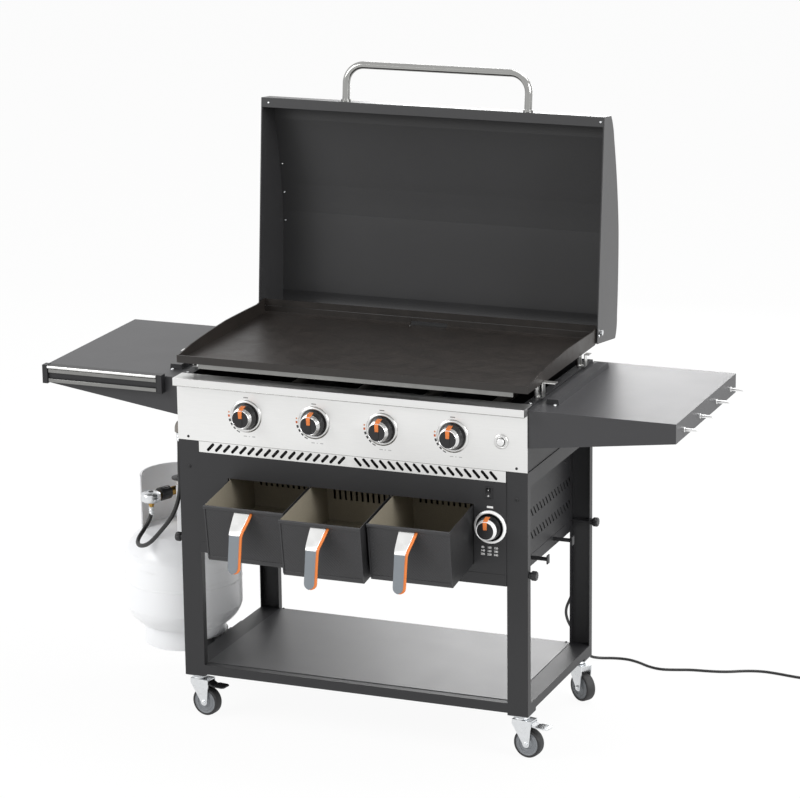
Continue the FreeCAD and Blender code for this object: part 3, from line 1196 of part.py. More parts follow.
def coil_path():
    """Half turns that spiral in on the floor, climb and spiral out above, with straight ends."""
    half, pitch = number("coil_half"), number("cord_pitch")
    low, high = number("cord_low"), number("cord_low + cord_pitch")
    centre_x, centre_y = number("coil_x"), number("coil_y + coil_half")
    ends = [-half, half - pitch / 2, -(half - pitch), half - 1.5 * pitch,
            -(half - 2 * pitch), half - pitch, -(half - pitch / 2), half + 1.5 * pitch]
    levels = [low, low, low, low, high, high, high, high]
    edges = []
    tail = 2 * number("cord_radius")
    start = FreeCAD.Vector(centre_x, centre_y + ends[0], levels[0])
    edges.append(Part.LineSegment(start - FreeCAD.Vector(tail, 0, 0), start).toShape())
    for turn in range(7):
        first = FreeCAD.Vector(centre_x, centre_y + ends[turn], levels[turn])
        last = FreeCAD.Vector(centre_x, centre_y + ends[turn + 1], levels[turn + 1])
        out = FreeCAD.Vector(1 if turn % 2 == 0 else -1, 0, 0)
        middle = (first + last) / 2 + out * ((last - first).Length / 2)
        edges.append(Part.Arc(first, middle, last).toShape())
    leave = FreeCAD.Vector(centre_x, centre_y + ends[-1], levels[-1])
    edges.append(Part.LineSegment(leave, leave - FreeCAD.Vector(tail, 0, 0)).toShape())
    return Part.Wire(edges)


def self_gap(spine, radius):
    """Least gap of a wound lead to itself, measured on points along its line."""
    spots = spine.discretize(Number=700)
    step = spine.Length / 699
    skip = int(5 * radius / step)
    least = min((spots[first] - spots[second]).Length
                for first in range(0, len(spots), 2)
                for second in range(first + skip, len(spots), 2))
    return least - 2 * radius


def mains_lead():
    """Strain relief, lead, its coil of spare length and the plug."""
    flange = "casing_rear + relief_flange"
    relief = spin("Relief", "XY", "V_Axis", [
        (0, "casing_rear"), ("relief_radius", "casing_rear"), ("relief_radius", flange),
        ("relief_neck", f"{flange} + 1"), ("relief_tip", "relief_end"), (0, "relief_end")])
    publish(relief, "strain_relief", place("exit_x", 0, "exit_z"))
    publish(lead("Lead", CORD_ROUTE, "cord_radius"), "power_cord")
    spine = coil_path()
    print("coil least self gap", round(self_gap(spine, number("cord_radius")), 2))
    publish(swept("Coil", spine, number("cord_radius"), LEAD_SIDES), "cord_coil")
    end_y = "coil_y + 2 * coil_half + 1.5 * cord_pitch"
    level = "cord_low + cord_pitch"
    face = "coil_x - 2 * cord_radius"
    grip = extruded("PlugGrip", "XY", [[
        (f"{face} - plug_length", f"{end_y} - plug_half"),
        (f"{face} - plug_taper", f"{end_y} - plug_half"), (face, f"{end_y} - plug_nose"),
        (face, f"{end_y} + plug_nose"), (f"{face} - plug_taper", f"{end_y} + plug_half"),
        (f"{face} - plug_length", f"{end_y} + plug_half")]], (0, f"2 * ({level})"))
    blades = [box(f"PlugBlade{word}", (f"{face} - blade_reach", f"{face} - blade_root"),
                  (f"{end_y} {sign} blade_gap - blade_thick",
                   f"{end_y} {sign} blade_gap + blade_thick"),
                  (f"{level} - blade_drop", f"{level} + 0.4"))
              for word, sign in (("Near", "-"), ("Far", "+"))]
    earth = rod("PlugEarth", "X", (end_y, f"{level} + earth_rise"), "earth_radius",
                (f"{face} - earth_reach", f"{face} - blade_root"))
    publish(fuse("PlugParts", [grip, earth] + blades), "plug")


def build():
    """Every sub-part in turn."""
    for make in (side_frames, bottom_shelf, casters, burner_box, control_panel, knob_bezels,
                 controls, gas_train, plate_supports, griddle_plate, hood, tables,
                 fryer_casing, fryer_front, fryer_liner, drawers, fan_wheel, thumb_knobs,
                 grease_cup, cylinder, gas_hose, cylinder_holder, mains_lead):
        make()


def check_and_write():
    """Stop at any failed object, then write one file for each sub-part."""
    doc.recompute()
    failed = [thing.Name for thing in doc.Objects
              if "Invalid" in thing.State or "Error" in thing.State]
    if failed:
        raise RuntimeError("failed objects: " + ", ".join(failed))
    for label, piece in nodes.items():
        shape = piece.Shape
        if shape.isNull() or not shape.isValid() or not shape.Solids:
            raise RuntimeError("bad shape: " + label)
        shape.exportStep(f"parts/{label}.step")
    print(len(nodes), "sub-parts written")


build()
check_and_write()
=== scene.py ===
"""Looks of the outdoor gas griddle station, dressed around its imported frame."""

import logging
import math
from dataclasses import dataclass, field
from enum import Enum
from typing import Callable, Iterable, Sequence

import bmesh
import bpy
from mathutils import Matrix, Vector


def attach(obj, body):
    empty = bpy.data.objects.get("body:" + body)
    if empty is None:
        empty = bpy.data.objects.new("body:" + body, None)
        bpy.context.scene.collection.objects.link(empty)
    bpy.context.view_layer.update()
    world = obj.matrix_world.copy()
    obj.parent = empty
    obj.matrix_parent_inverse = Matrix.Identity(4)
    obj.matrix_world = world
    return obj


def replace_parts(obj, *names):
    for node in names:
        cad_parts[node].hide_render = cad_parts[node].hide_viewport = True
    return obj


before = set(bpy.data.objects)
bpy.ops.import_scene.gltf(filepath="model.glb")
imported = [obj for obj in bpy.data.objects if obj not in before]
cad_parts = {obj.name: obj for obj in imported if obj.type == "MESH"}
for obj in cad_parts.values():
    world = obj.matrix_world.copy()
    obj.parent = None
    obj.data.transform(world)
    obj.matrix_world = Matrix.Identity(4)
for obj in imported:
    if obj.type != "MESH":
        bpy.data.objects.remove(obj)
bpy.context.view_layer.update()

log = logging.getLogger("griddle_station")

MM = 0.001
ROW_ORIGIN = Vector((18.6, 210.1, 0.0))

Point = Sequence[float]
Outline = Sequence[tuple[float, float]]
Size = float | tuple[float, float, float]
Tree = bpy.types.NodeTree
Node = bpy.types.Node
Socket = bpy.types.NodeSocket
Colour = tuple[float, float, float, float] | Socket


def cart(across: float, back: float, up: float) -> Vector:
    """Turn the cart's own millimetres into the row's frame.

    Args:
        across: Distance right of the cart's middle.
        back: Distance behind the front faces of the legs.
        up: Height above the floor.

    Returns:
        The point in metres.
    """
    return (Vector((across, back, up)) - ROW_ORIGIN) * MM


def linear(colour: str) -> tuple[float, float, float, float]:
    """Turn an sRGB hex colour into linear values with full alpha."""
    parts = [int(colour[start:start + 2], 16) / 255 for start in (1, 3, 5)]
    lit = [part / 12.92 if part <= 0.04045 else ((part + 0.055) / 1.055) ** 2.4 for part in parts]
    return (lit[0], lit[1], lit[2], 1.0)


def shade(colour: str, amount: float) -> tuple[float, float, float, float]:
    """A colour made lighter or darker by a factor on its linear values."""
    return tuple(min(1.0, part * amount) for part in linear(colour)[:3]) + (1.0,)


def add_node(tree: Tree, kind: str, inputs: dict | None = None, **settings) -> Node:
    """Add one node, set its properties and feed its inputs.

    Args:
        tree: The material's or world's nodes.
        kind: The node's type name.
        inputs: Socket name or index to a value, or to another node's output.
        **settings: Properties of the node itself.

    Returns:
        The new node.
    """
    node = tree.nodes.new(kind)
    for name, value in settings.items():
        setattr(node, name, value)
    for socket, value in (inputs or {}).items():
        if isinstance(value, Socket):
            tree.links.new(value, node.inputs[socket])
        else:
            node.inputs[socket].default_value = value
    return node


def row_spots(tree: Tree, size_mm: Size) -> Socket:
    """The surface point in the row's frame, counted in a pattern's sizes.

    Args:
        tree: The material's nodes.
        size_mm: The pattern's size, or its sizes along X, Y and Z.

    Returns:
        The output that carries the point.
    """
    sizes = [size_mm] * 3 if isinstance(size_mm, float) else size_mm
    here = add_node(tree, "ShaderNodeTexCoord")
    spread = add_node(tree, "ShaderNodeVectorMath", {
        0: here.outputs["Object"], 1: tuple(1 / (size * MM) for size in sizes)},
        operation="MULTIPLY")
    return spread.outputs[0]


def noise(tree: Tree, size_mm: Size, detail: float, rough: float = 0.5,
          swirl: float = 0.0) -> Socket:
    """A cloudy pattern in the row's frame.

    Args:
        tree: The material's nodes.
        size_mm: Size of its clouds, or their sizes along X, Y and Z.
        detail: How many finer octaves it has.
        rough: How strong the finer ones are.
        swirl: How much it is distorted.

    Returns:
        The output that carries it, from 0 to 1.
    """
    made = add_node(tree, "ShaderNodeTexNoise", {
        "Vector": row_spots(tree, size_mm), "Scale": 1.0, "Detail": detail,
        "Roughness": rough, "Distortion": swirl})
    return made.outputs["Fac"]


def blend(tree: Tree, share: Socket, first: Colour, second: Colour) -> Socket:
    """Mix two colours, or the outputs that carry them, by a share from 0 to 1."""
    made = add_node(tree, "ShaderNodeMix", {0: share, 6: first, 7: second}, data_type="RGBA")
    return made.outputs[2]


def remap(tree: Tree, value: Socket, target: Point, source: Point = (0.0, 1.0)) -> Socket:
    """Turn one range of a value into another, and hold it at the ends."""
    made = add_node(tree, "ShaderNodeMapRange", {
        "Value": value, "From Min": source[0], "From Max": source[1],
        "To Min": target[0], "To Max": target[1]})
    return made.outputs[0]


def calculate(tree: Tree, operation: str, first: Socket, second: Socket | float) -> Socket:
    """Do one sum with two values."""
    return add_node(tree, "ShaderNodeMath", {0: first, 1: second}, operation=operation).outputs[0]


def blank_tree(owner: bpy.types.Material | bpy.types.World) -> Tree:
    """The empty node tree of a material or world."""
    owner.use_nodes = True
    owner.node_tree.nodes.clear()
    return owner.node_tree


def add_object(name: str, data: bpy.types.ID) -> bpy.types.Object:
    """Make an object from its data and put it into the scene."""
    made = bpy.data.objects.new(name, data)
    bpy.context.scene.collection.objects.link(made)
    return made


def around(steps: int) -> list[float]:
    """Angles once round in equal steps."""
    return [math.tau * step / steps for step in range(steps)]


def sided(profile: Outline, side: int) -> list[tuple[float, float]]:
    """A turned profile as it is for side 1, and mirrored along its axis for side -1."""
    return [(radius, side * along) for radius, along in profile]


@dataclass(frozen=True)
class Finish:
    """What every finish has: a name, a colour and how rough and metallic it is."""

    name: str
    colour: str
    roughness: float
    metallic: float = 0.0

    def dress(self, tree: Tree, surface: Node) -> None:
        """Add the finish's own pattern to the shader."""

    def material(self) -> bpy.types.Material:
        """Make the material the first time, and hand out the same one afterwards."""
        found = bpy.data.materials.get(self.name)
        if found:
            return found
        made = bpy.data.materials.new(self.name)
        tree = blank_tree(made)
        surface = add_node(tree, "ShaderNodeBsdfPrincipled", {
            "Base Color": linear(self.colour), "Roughness": self.roughness,
            "Metallic": self.metallic})
        self.dress(tree, surface)
        add_node(tree, "ShaderNodeOutputMaterial", {"Surface": surface.outputs[0]})
        return made

    def vary(self, tree: Tree, surface: Node, pattern: Socket, tint: float,
             rough: float) -> None:
        """Let a pattern from 0 to 1 shift the colour and the roughness about their own values.

        Args:
            tree: The material's nodes.
            surface: The shader.
            pattern: The pattern's output.
            tint: How far the colour goes down and up, as a share.
            rough: How far the roughness goes down and up.
        """
        if tint:
            mix = blend(tree, pattern, shade(self.colour, 1 - tint), shade(self.colour, 1 + tint))
            tree.links.new(mix, surface.inputs["Base Color"])
        if rough:
            spread = remap(tree, pattern, (self.roughness - rough, self.roughness + rough))
            tree.links.new(spread, surface.inputs["Roughness"])

    def raise_by(self, tree: Tree, surface: Node, pattern: Socket, height_mm: float,
                 strength: float) -> None:
        """Let a pattern lift the surface's normal.

        Args:
            tree: The material's nodes.
            surface: The shader.
            pattern: The pattern's output.
            height_mm: The pattern's full height.
            strength: How much of it shows.
        """
        bump = add_node(tree, "ShaderNodeBump", {
            "Strength": strength, "Distance": height_mm * MM, "Height": pattern})
        tree.links.new(bump.outputs[0], surface.inputs["Normal"])


@dataclass(frozen=True)
class PowderCoat(Finish):
    """Polyester powder baked on sheet steel: a satin skin with a fine sandy grit."""

    # Real grit is about 0.3 mm across and is drawn larger, so that it shows
    grit_mm: float = 1.6
    cloud_mm: float = 90.0
    cloud_share: float = 0.45
    tint: float = 0.10

    def dress(self, tree: Tree, surface: Node) -> None:
        """Grit for the normal, and soft clouds in the colour where the coat is thicker."""
        grit = noise(tree, self.grit_mm, 2.0, rough=0.6)
        cloud = noise(tree, self.cloud_mm, 3.0)
        both = add_node(tree, "ShaderNodeMix", {0: self.cloud_share, 2: grit, 3: cloud})
        self.vary(tree, surface, both.outputs[0], tint=self.tint, rough=0.06)
        self.raise_by(tree, surface, grit, height_mm=0.12, strength=0.35)


@dataclass(frozen=True)
class Patterned(Finish):
    """A finish with one cloudy pattern in its colour, its gloss and its normal."""

    size_mm: Size = 1.0
    detail: float = 2.0
    fine: float = 0.5
    tint: float = 0.10
    gloss: float = 0.05
    height_mm: float = 0.1
    strength: float = 0.2

    def dress(self, tree: Tree, surface: Node) -> None:
        """The pattern, at the finish's own size and strength."""
        pattern = noise(tree, self.size_mm, self.detail, rough=self.fine)
        self.vary(tree, surface, pattern, tint=self.tint, rough=self.gloss)
        self.raise_by(tree, surface, pattern, self.height_mm, self.strength)


class Grain(Enum):
    """Which way a brushed sheet's scratches run, as their sizes along X, Y and Z."""

    ACROSS = (40.0, 0.7, 0.7)
    UP = (0.7, 0.7, 40.0)


@dataclass(frozen=True)
class BrushedSteel(Patterned):
    """Stainless sheet brushed one way with a belt: long hair-thin scratches that spread light."""

    metallic: float = 1.0
    size_mm: Size = Grain.ACROSS.value
    detail: float = 3.0
    fine: float = 0.65
    tint: float = 0.07
    gloss: float = 0.08
    height_mm: float = 0.05
    strength: float = 0.25
    spread: float = 0.5

    def dress(self, tree: Tree, surface: Node) -> None:
        """The scratches, and the light that they spread across the grain."""
        super().dress(tree, surface)
        surface.inputs["Anisotropic"].default_value = self.spread


@dataclass(frozen=True)
class ZincPlate(Patterned):
    """Bright zinc plating on pressed steel: a bluish metal with faint clouds from the bath."""

    metallic: float = 1.0
    size_mm: Size = 9.0
    detail: float = 4.0
    fine: float = 0.6
    tint: float = 0.12
    gloss: float = 0.10
    strength: float = 0.12


@dataclass(frozen=True)
class Polished(Patterned):
    """Chrome or bright lacquer over a drawn blank: shiny, with a trace of the blank's waves."""

    metallic: float = 1.0
    size_mm: Size = 14.0
    detail: float = 1.0
    tint: float = 0.03
    gloss: float = 0.03
    height_mm: float = 0.15
    strength: float = 0.10


@dataclass(frozen=True)
class MouldedPlastic(Patterned):
    """Glass-filled nylon or ABS from a spark-eroded mould: an even fine grain, a dull sheen."""

    # About twice the mould's real grain, so that it shows
    size_mm: Size = 0.9
    height_mm: float = 0.08
    strength: float = 0.3


@dataclass(frozen=True)
class MillSheet(Patterned):
    """Aluminised or plain mill steel: dull metal with the rolls' faint lengthwise streaks."""

    metallic: float = 1.0
    size_mm: Size = (50.0, 2.5, 50.0)
    detail: float = 4.0
    fine: float = 0.7
    tint: float = 0.22
    gloss: float = 0.10
    strength: float = 0.15


@dataclass(frozen=True)
class SeasonedSteel(Finish):
    """Rolled steel with baked-on oil: near black, in glossy and dull patches, a little brown."""

    scorch: str = "#2a2420"
    patch_mm: float = 55.0
    pit_mm: float = 2.2

    def dress(self, tree: Tree, surface: Node) -> None:
        """Oil patches in gloss and colour, and the fine pitting of the baked film."""
        patch = noise(tree, self.patch_mm, 6.0, rough=0.65, swirl=0.6)
        burnt = blend(tree, patch, linear(self.colour), linear(self.scorch))
        tree.links.new(burnt, surface.inputs["Base Color"])
        self.vary(tree, surface, patch, tint=0.0, rough=0.16)
        pits = noise(tree, self.pit_mm, 3.0)
        self.raise_by(tree, surface, pits, height_mm=0.25, strength=0.35)


@dataclass(frozen=True)
class NonStickCoat(Finish):
    """Sprayed and baked PTFE inside a pressed pan, grey with specks, and black paint outside."""

    speck: str = "#aaa392"
    outside: str = "#222223"
    speck_mm: float = 3.0
    wear_mm: float = 40.0
    middle: tuple[float, float, float] = (0.0, 0.0, 600.0)

    def dress(self, tree: Tree, surface: Node) -> None:
        """Specks of the coat's mica, a soft wear cloud, and the paint on outward faces."""
        cells = add_node(tree, "ShaderNodeTexVoronoi", {
            "Vector": row_spots(tree, self.speck_mm), "Scale": 1.0})
        speck = remap(tree, cells.outputs["Distance"], (0.75, 0.0), source=(0.05, 0.35))
        coated = blend(tree, speck, linear(self.colour), linear(self.speck))
        # Faces that look away from the pan's middle are its outside
        here = add_node(tree, "ShaderNodeTexCoord")
        reach = add_node(tree, "ShaderNodeVectorMath", {
            0: here.outputs["Object"], 1: tuple(cart(*self.middle))}, operation="SUBTRACT")
        away = add_node(tree, "ShaderNodeVectorMath", {
            0: reach.outputs[0], 1: here.outputs["Normal"]}, operation="DOT_PRODUCT")
        outward = calculate(tree, "GREATER_THAN", away.outputs["Value"], 0.0)
        painted = blend(tree, outward, coated, linear(self.outside))
        tree.links.new(painted, surface.inputs["Base Color"])
        self.vary(tree, surface, noise(tree, self.wear_mm, 3.0), tint=0.0, rough=0.08)


@dataclass(frozen=True)
class Rubber(Finish):
    """Moulded or extruded black rubber: matt, with a dusty bloom and a fine grain."""

    bloom_mm: float = 22.0
    grain_mm: float = 1.2

    def dress(self, tree: Tree, surface: Node) -> None:
        """Bloom in the colour, and the grain in the normal."""
        self.vary(tree, surface, noise(tree, self.bloom_mm, 4.0), tint=0.22, rough=0.06)
        self.raise_by(tree, surface, noise(tree, self.grain_mm, 1.0), height_mm=0.06,
                      strength=0.3)


@dataclass(frozen=True)
class Enamel(Finish):
    """White paint over a drawn and welded cylinder: glossy, gently wavy, with handling scuffs."""

    scuff: str = "#b9b9b6"
    scuff_mm: tuple[float, float, float] = (111.11, 111.11, 16.667)
    peel_mm: float = 7.0

    def dress(self, tree: Tree, surface: Node) -> None:
        """Scuffs where cylinders rub in their cage, and orange peel in the normal."""
        rub = noise(tree, self.scuff_mm, 8.0, rough=0.72)
        worn = remap(tree, rub, (0.0, 0.18), source=(0.60, 0.74))
        scuffed = blend(tree, worn, linear(self.colour), linear(self.scuff))
        tree.links.new(scuffed, surface.inputs["Base Color"])
        self.raise_by(tree, surface, noise(tree, self.peel_mm, 1.0), height_mm=0.2,
                      strength=0.12)


@dataclass(frozen=True)
class Print(Finish):
    """Screen-printed ink: flat, a little matt, with a slightly uneven film."""

    film_mm: float = 1.5

    def dress(self, tree: Tree, surface: Node) -> None:
        """The film's unevenness."""
        self.vary(tree, surface, noise(tree, self.film_mm, 2.0), tint=0.05, rough=0.04)


class Finishes:
    """The object's finishes, by what carries them."""

    # Near-black coat for the sheets behind the vent slots: painted shade for the dark inside seen
    # through them
    CART_COAT = PowderCoat("cart_powder_coat", "#222224", 0.50)
    PAINTED_SHADE_BLACK = PowderCoat("painted_shade_sheet_coat", "#0c0c0d", 0.6)
    HOOD_COAT = PowderCoat("hood_powder_coat", "#343435", 0.36)
    TABLE_COAT = PowderCoat("table_powder_coat", "#343436", 0.40)
    DRAWER_COAT = PowderCoat("drawer_front_powder_coat", "#2e2e30", 0.38, grit_mm=1.0)
    PANEL_STEEL = BrushedSteel("brushed_stainless_panel", "#e8e8e7", 0.34)
    HANDLE_STEEL = BrushedSteel("brushed_stainless_tube", "#a5a5a3", 0.16, tint=0.02)
    BLADE_STEEL = BrushedSteel("brushed_stainless_blade", "#efefee", 0.26,
                               size_mm=Grain.UP.value)
    ZINC = ZincPlate("bright_zinc_plate", "#e0e2e4", 0.30)
    CHROME = Polished("chromed_knob_ring", "#efefef", 0.26)
    WHITE_BEZEL = Polished("bright_satin_bezel", "#f6f6f6", 0.38, metallic=0.2)
    BEZEL = Polished("satin_chromed_bezel", "#dcdcdb", 0.32)
    LOCATOR = BrushedSteel("brushed_stainless_locator", "#f2f2f0", 0.30)
    RIM = BrushedSteel("brushed_stainless_rim", "#f2f2f0", 0.28)
    BLACK_PLASTIC = MouldedPlastic("moulded_black_nylon", "#1b1b1d", 0.42)
    KNOB_PLASTIC = MouldedPlastic("moulded_black_phenolic", "#151517", 0.30)
    GREY_GRIP = MouldedPlastic("moulded_grey_grip", "#7b8187", 0.55)
    ORANGE = MouldedPlastic("moulded_orange_nylon", "#dd7a36", 0.40)
    GRIDDLE = SeasonedSteel("seasoned_rolled_steel", "#1a1918", 0.42)
    LINER = MillSheet("aluminised_steel_sheet", "#6f6c68", 0.50)
    BURNER = MillSheet("plain_steel_tube", "#8a8580", 0.42)
    BAR_STEEL = MillSheet("plain_steel_bar", "#8a8a88", 0.38)
    TYRE = Rubber("moulded_tyre_rubber", "#2a2a2b", 0.62)
    HUB = MouldedPlastic("moulded_grey_hub", "#83868a", 0.45)
    HOSE = Rubber("extruded_hose_rubber", "#1a1a1b", 0.42)
    SHEATH = Rubber("extruded_cord_sheath", "#1d1d1e", 0.48)
    TANK = Enamel("white_cylinder_enamel", "#f6f7f9", 0.28)
    BRASS = MillSheet("turned_valve_brass", "#b08d4c", 0.30)
    DARK_INK = Print("dark_screen_print", "#3a3a3c", 0.5)
    ORANGE_INK = Print("orange_screen_print", "#c9622c", 0.5)
    WHITE_INK = Print("white_screen_print", "#e8e8e8", 0.5)
    GREY_INK = Print("grey_screen_print", "#8c8c8c", 0.5)
    PALE_INK = Print("pale_screen_print", "#b5b5b5", 0.5)
    PALE_ORANGE_INK = Print("pale_orange_screen_print", "#d99368", 0.5)


class Axis(Enum):
    """An axis that a turned or extruded form follows, as the order of its own coordinates."""

    X = (1, 2, 0)
    Y = (0, 2, 1)
    Z = (0, 1, 2)

    def place(self, first: float, second: float, along: float) -> Vector:
        """Put two cross coordinates and one along the axis into X, Y, Z order."""
        spot = [0.0, 0.0, 0.0]
        for index, value in zip(self.value, (first, second, along)):
            spot[index] = value
        return Vector(spot)


@dataclass
class Shape:
    """A mesh under construction in its own millimetres, with a finish on each face."""

    pose: Matrix = field(default_factory=Matrix)
    mesh: bmesh.types.BMesh = field(default_factory=bmesh.new)
    finishes: list[Finish] = field(default_factory=list)

    def slot_of(self, finish: Finish) -> int:
        """The material index of a finish."""
        if finish not in self.finishes:
            self.finishes.append(finish)
        return self.finishes.index(finish)

    def face(self, corners: Sequence[bmesh.types.BMVert], finish: Finish) -> None:
        """Add one face with a finish."""
        made = self.mesh.faces.new(corners)
        made.material_index = self.slot_of(finish)

    def rings(self, loops: Sequence[Sequence[Vector]], finish: Finish | Sequence[Finish],
              closed: bool = True, capped: bool = True) -> None:
        """Join loops of points into a skin.

        Args:
            loops: Loops with the same number of points each.
            finish: One finish, or one for each strip between two loops.
            closed: Whether each loop comes round to its start.
            capped: Whether the first and last loops get a face.
        """
        rows = [[self.mesh.verts.new(spot) for spot in loop] for loop in loops]
        count = len(rows[0])
        strips = finish if isinstance(finish, (list, tuple)) else [finish] * (len(rows) - 1)
        for low, high, dressed in zip(rows, rows[1:], strips):
            for index in range(count if closed else count - 1):
                after = (index + 1) % count
                self.face((low[index], low[after], high[after], high[index]), dressed)
        if capped:
            self.face(rows[0][::-1], strips[0])
            self.face(rows[-1], strips[-1])

    def turned(self, axis: Axis, centre: Point, profile: Outline,
               finish: Finish | Sequence[Finish], steps: int = 56) -> None:
        """A turned form.

        Args:
            axis: The axis it turns about.
            centre: The axis's two cross coordinates.
            profile: Pairs of radius and place along the axis. A radius of 0 closes an end.
            finish: One finish, or one for each stretch of the profile.
            steps: Facets around.
        """
        strips = finish if isinstance(finish, (list, tuple)) else [finish] * (len(profile) - 1)
        before: list[bmesh.types.BMVert] | None = None
        for index, (radius, along) in enumerate(profile):
            if radius:
                ring = [self.mesh.verts.new(axis.place(
                    centre[0] + radius * math.cos(angle), centre[1] + radius * math.sin(angle),
                    along)) for angle in around(steps)]
            else:
                ring = [self.mesh.verts.new(axis.place(centre[0], centre[1], along))]
            if before:
                dressed = strips[index - 1]
                for step in range(steps):
                    after = (step + 1) % steps
                    corners = [before[step % len(before)], before[after % len(before)],
                               ring[after % len(ring)], ring[step % len(ring)]]
                    unique = list(dict.fromkeys(corners))
                    self.face(unique, dressed)
            before = ring

    def fluted(self, axis: Axis, centre: Point, stations: Outline, steps: int,
               reach: Callable[[float, float], float], finish: Finish) -> None:
        """A form about an axis whose radius changes on the way round.

        Args:
            axis: The axis it stands on.
            centre: The axis's two cross coordinates.
            stations: Pairs of a size and a place along the axis.
            steps: Facets around.
            reach: Radius for a station's size and an angle.
            finish: What it is made of.
        """
        loops = []
        for size, along in stations:
            loop = []
            for angle in around(steps):
                radius = reach(size, angle)
                loop.append(axis.place(centre[0] + radius * math.cos(angle),
                                       centre[1] + radius * math.sin(angle), along))
            loops.append(loop)
        self.rings(loops, finish)

    def block(self, low: Point, high: Point, finish: Finish) -> None:
        """A block between two corners."""
        loops = []
        for z in (low[2], high[2]):
            loops.append([Vector((x, y, z)) for x, y in (
                (low[0], low[1]), (high[0], low[1]), (high[0], high[1]), (low[0], high[1]))])
        self.rings(loops, finish)

    def twins(self, low: Point, high: Point, finish: Finish, middle: float = 0.0) -> None:
        """A block right of the middle, and its mirror image on the left.

        Args:
            low: The right block's low corner, with X counted from the middle.
            high: Its high corner.
            finish: What both are made of.
            middle: Where the mirror plane stands in X.
        """
        for side in (-1, 1):
            left, right = sorted(middle + side * across for across in (low[0], high[0]))
            self.block((left, low[1], low[2]), (right, high[1], high[2]), finish)

    def slab(self, axis: Axis, outline: Outline, low: float, high: float,
             finish: Finish) -> None:
        """An outline drawn across an axis and pulled along it."""
        self.rings([[axis.place(first, second, along) for first, second in outline]
                    for along in (low, high)], finish)

    def screw(self, centre: Point, outward: Point, radius: float, finish: Finish) -> None:
        """A pan-head screw with a round recess, seated on a face.

        Args:
            centre: Middle of the seat.
            outward: The face's normal.
            radius: The head's radius.
            finish: The head's finish.
        """
        turn = Vector(outward).to_track_quat("Z", "Y").to_matrix().to_4x4()
        head = Shape(Matrix.Translation(Vector(centre)) @ turn)
        rise = radius * 0.55
        # Radius as a share of the head's, and height as a share of its rise
        shares = ((1, 0.35), (0.86, 0.75), (0.55, 1), (0.42, 1), (0.22, 0.45), (0, 0.45))
        profile = [(radius, -0.3)] + [(radius * wide, rise * tall) for wide, tall in shares]
        head.turned(Axis.Z, (0, 0), profile, finish, 20)
        self.absorb(head)

    def screws(self, centres: Iterable[Point], outward: Point, radius: float,
               finish: Finish) -> None:
        """Equal screws on faces that look the same way."""
        for centre in centres:
            self.screw(centre, outward, radius, finish)

    def absorb(self, other: "Shape") -> None:
        """Take in another shape, moved by its own pose."""
        other.mesh.transform(other.pose)
        offset = [self.slot_of(finish) for finish in other.finishes]
        matched: dict[bmesh.types.BMVert, bmesh.types.BMVert] = {}
        for vert in other.mesh.verts:
            matched[vert] = self.mesh.verts.new(vert.co)
        for face in other.mesh.faces:
            made = self.mesh.faces.new([matched[vert] for vert in face.verts])
            made.material_index = offset[face.material_index]
        other.mesh.free()

    def publish(self, name: str, body: str, replaces: Iterable[str] = (),
                ease_mm: float = 0.4, sharp: float = 38.0) -> bpy.types.Object:
        """Turn the shape into a piece of the scene.

        Args:
            name: The piece's name.
            body: The CAD body that it rides on.
            replaces: CAD nodes that it stands for.
            ease_mm: Width of the eased edges, or 0 for none.
            sharp: Edges that turn more than this many degrees stay sharp.

        Returns:
            The new object.
        """
        self.mesh.transform(self.pose)
        self.mesh.transform(Matrix.Translation(-ROW_ORIGIN * MM) @ Matrix.Scale(MM, 4))
        bmesh.ops.recalc_face_normals(self.mesh, faces=self.mesh.faces)
        data = bpy.data.meshes.new(name)
        self.mesh.to_mesh(data)
        self.mesh.free()
        for finish in self.finishes:
            data.materials.append(finish.material())
        data.polygons.foreach_set("use_smooth", [True] * len(data.polygons))
        data.set_sharp_from_angle(angle=math.radians(sharp))
        piece = add_object(name, data)
        if ease_mm:
            ease = piece.modifiers.new("eased_edges", "BEVEL")
            ease.width = ease_mm * MM
            ease.segments = 2
            ease.limit_method = "ANGLE"
            ease.angle_limit = math.radians(sharp)
        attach(piece, body)
        if replaces:
            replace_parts(piece, *replaces)
        log.info("piece %s on %s, %d faces", name, body, len(data.polygons))
        return piece


def coat(finish: Finish, *nodes: str) -> None:
    """Give CAD nodes that stay in view their finish."""
    for node in nodes:
        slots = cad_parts[node].data.materials
        slots.clear()
        slots.append(finish.material())
        log.info("node %s in %s", node, finish.name)


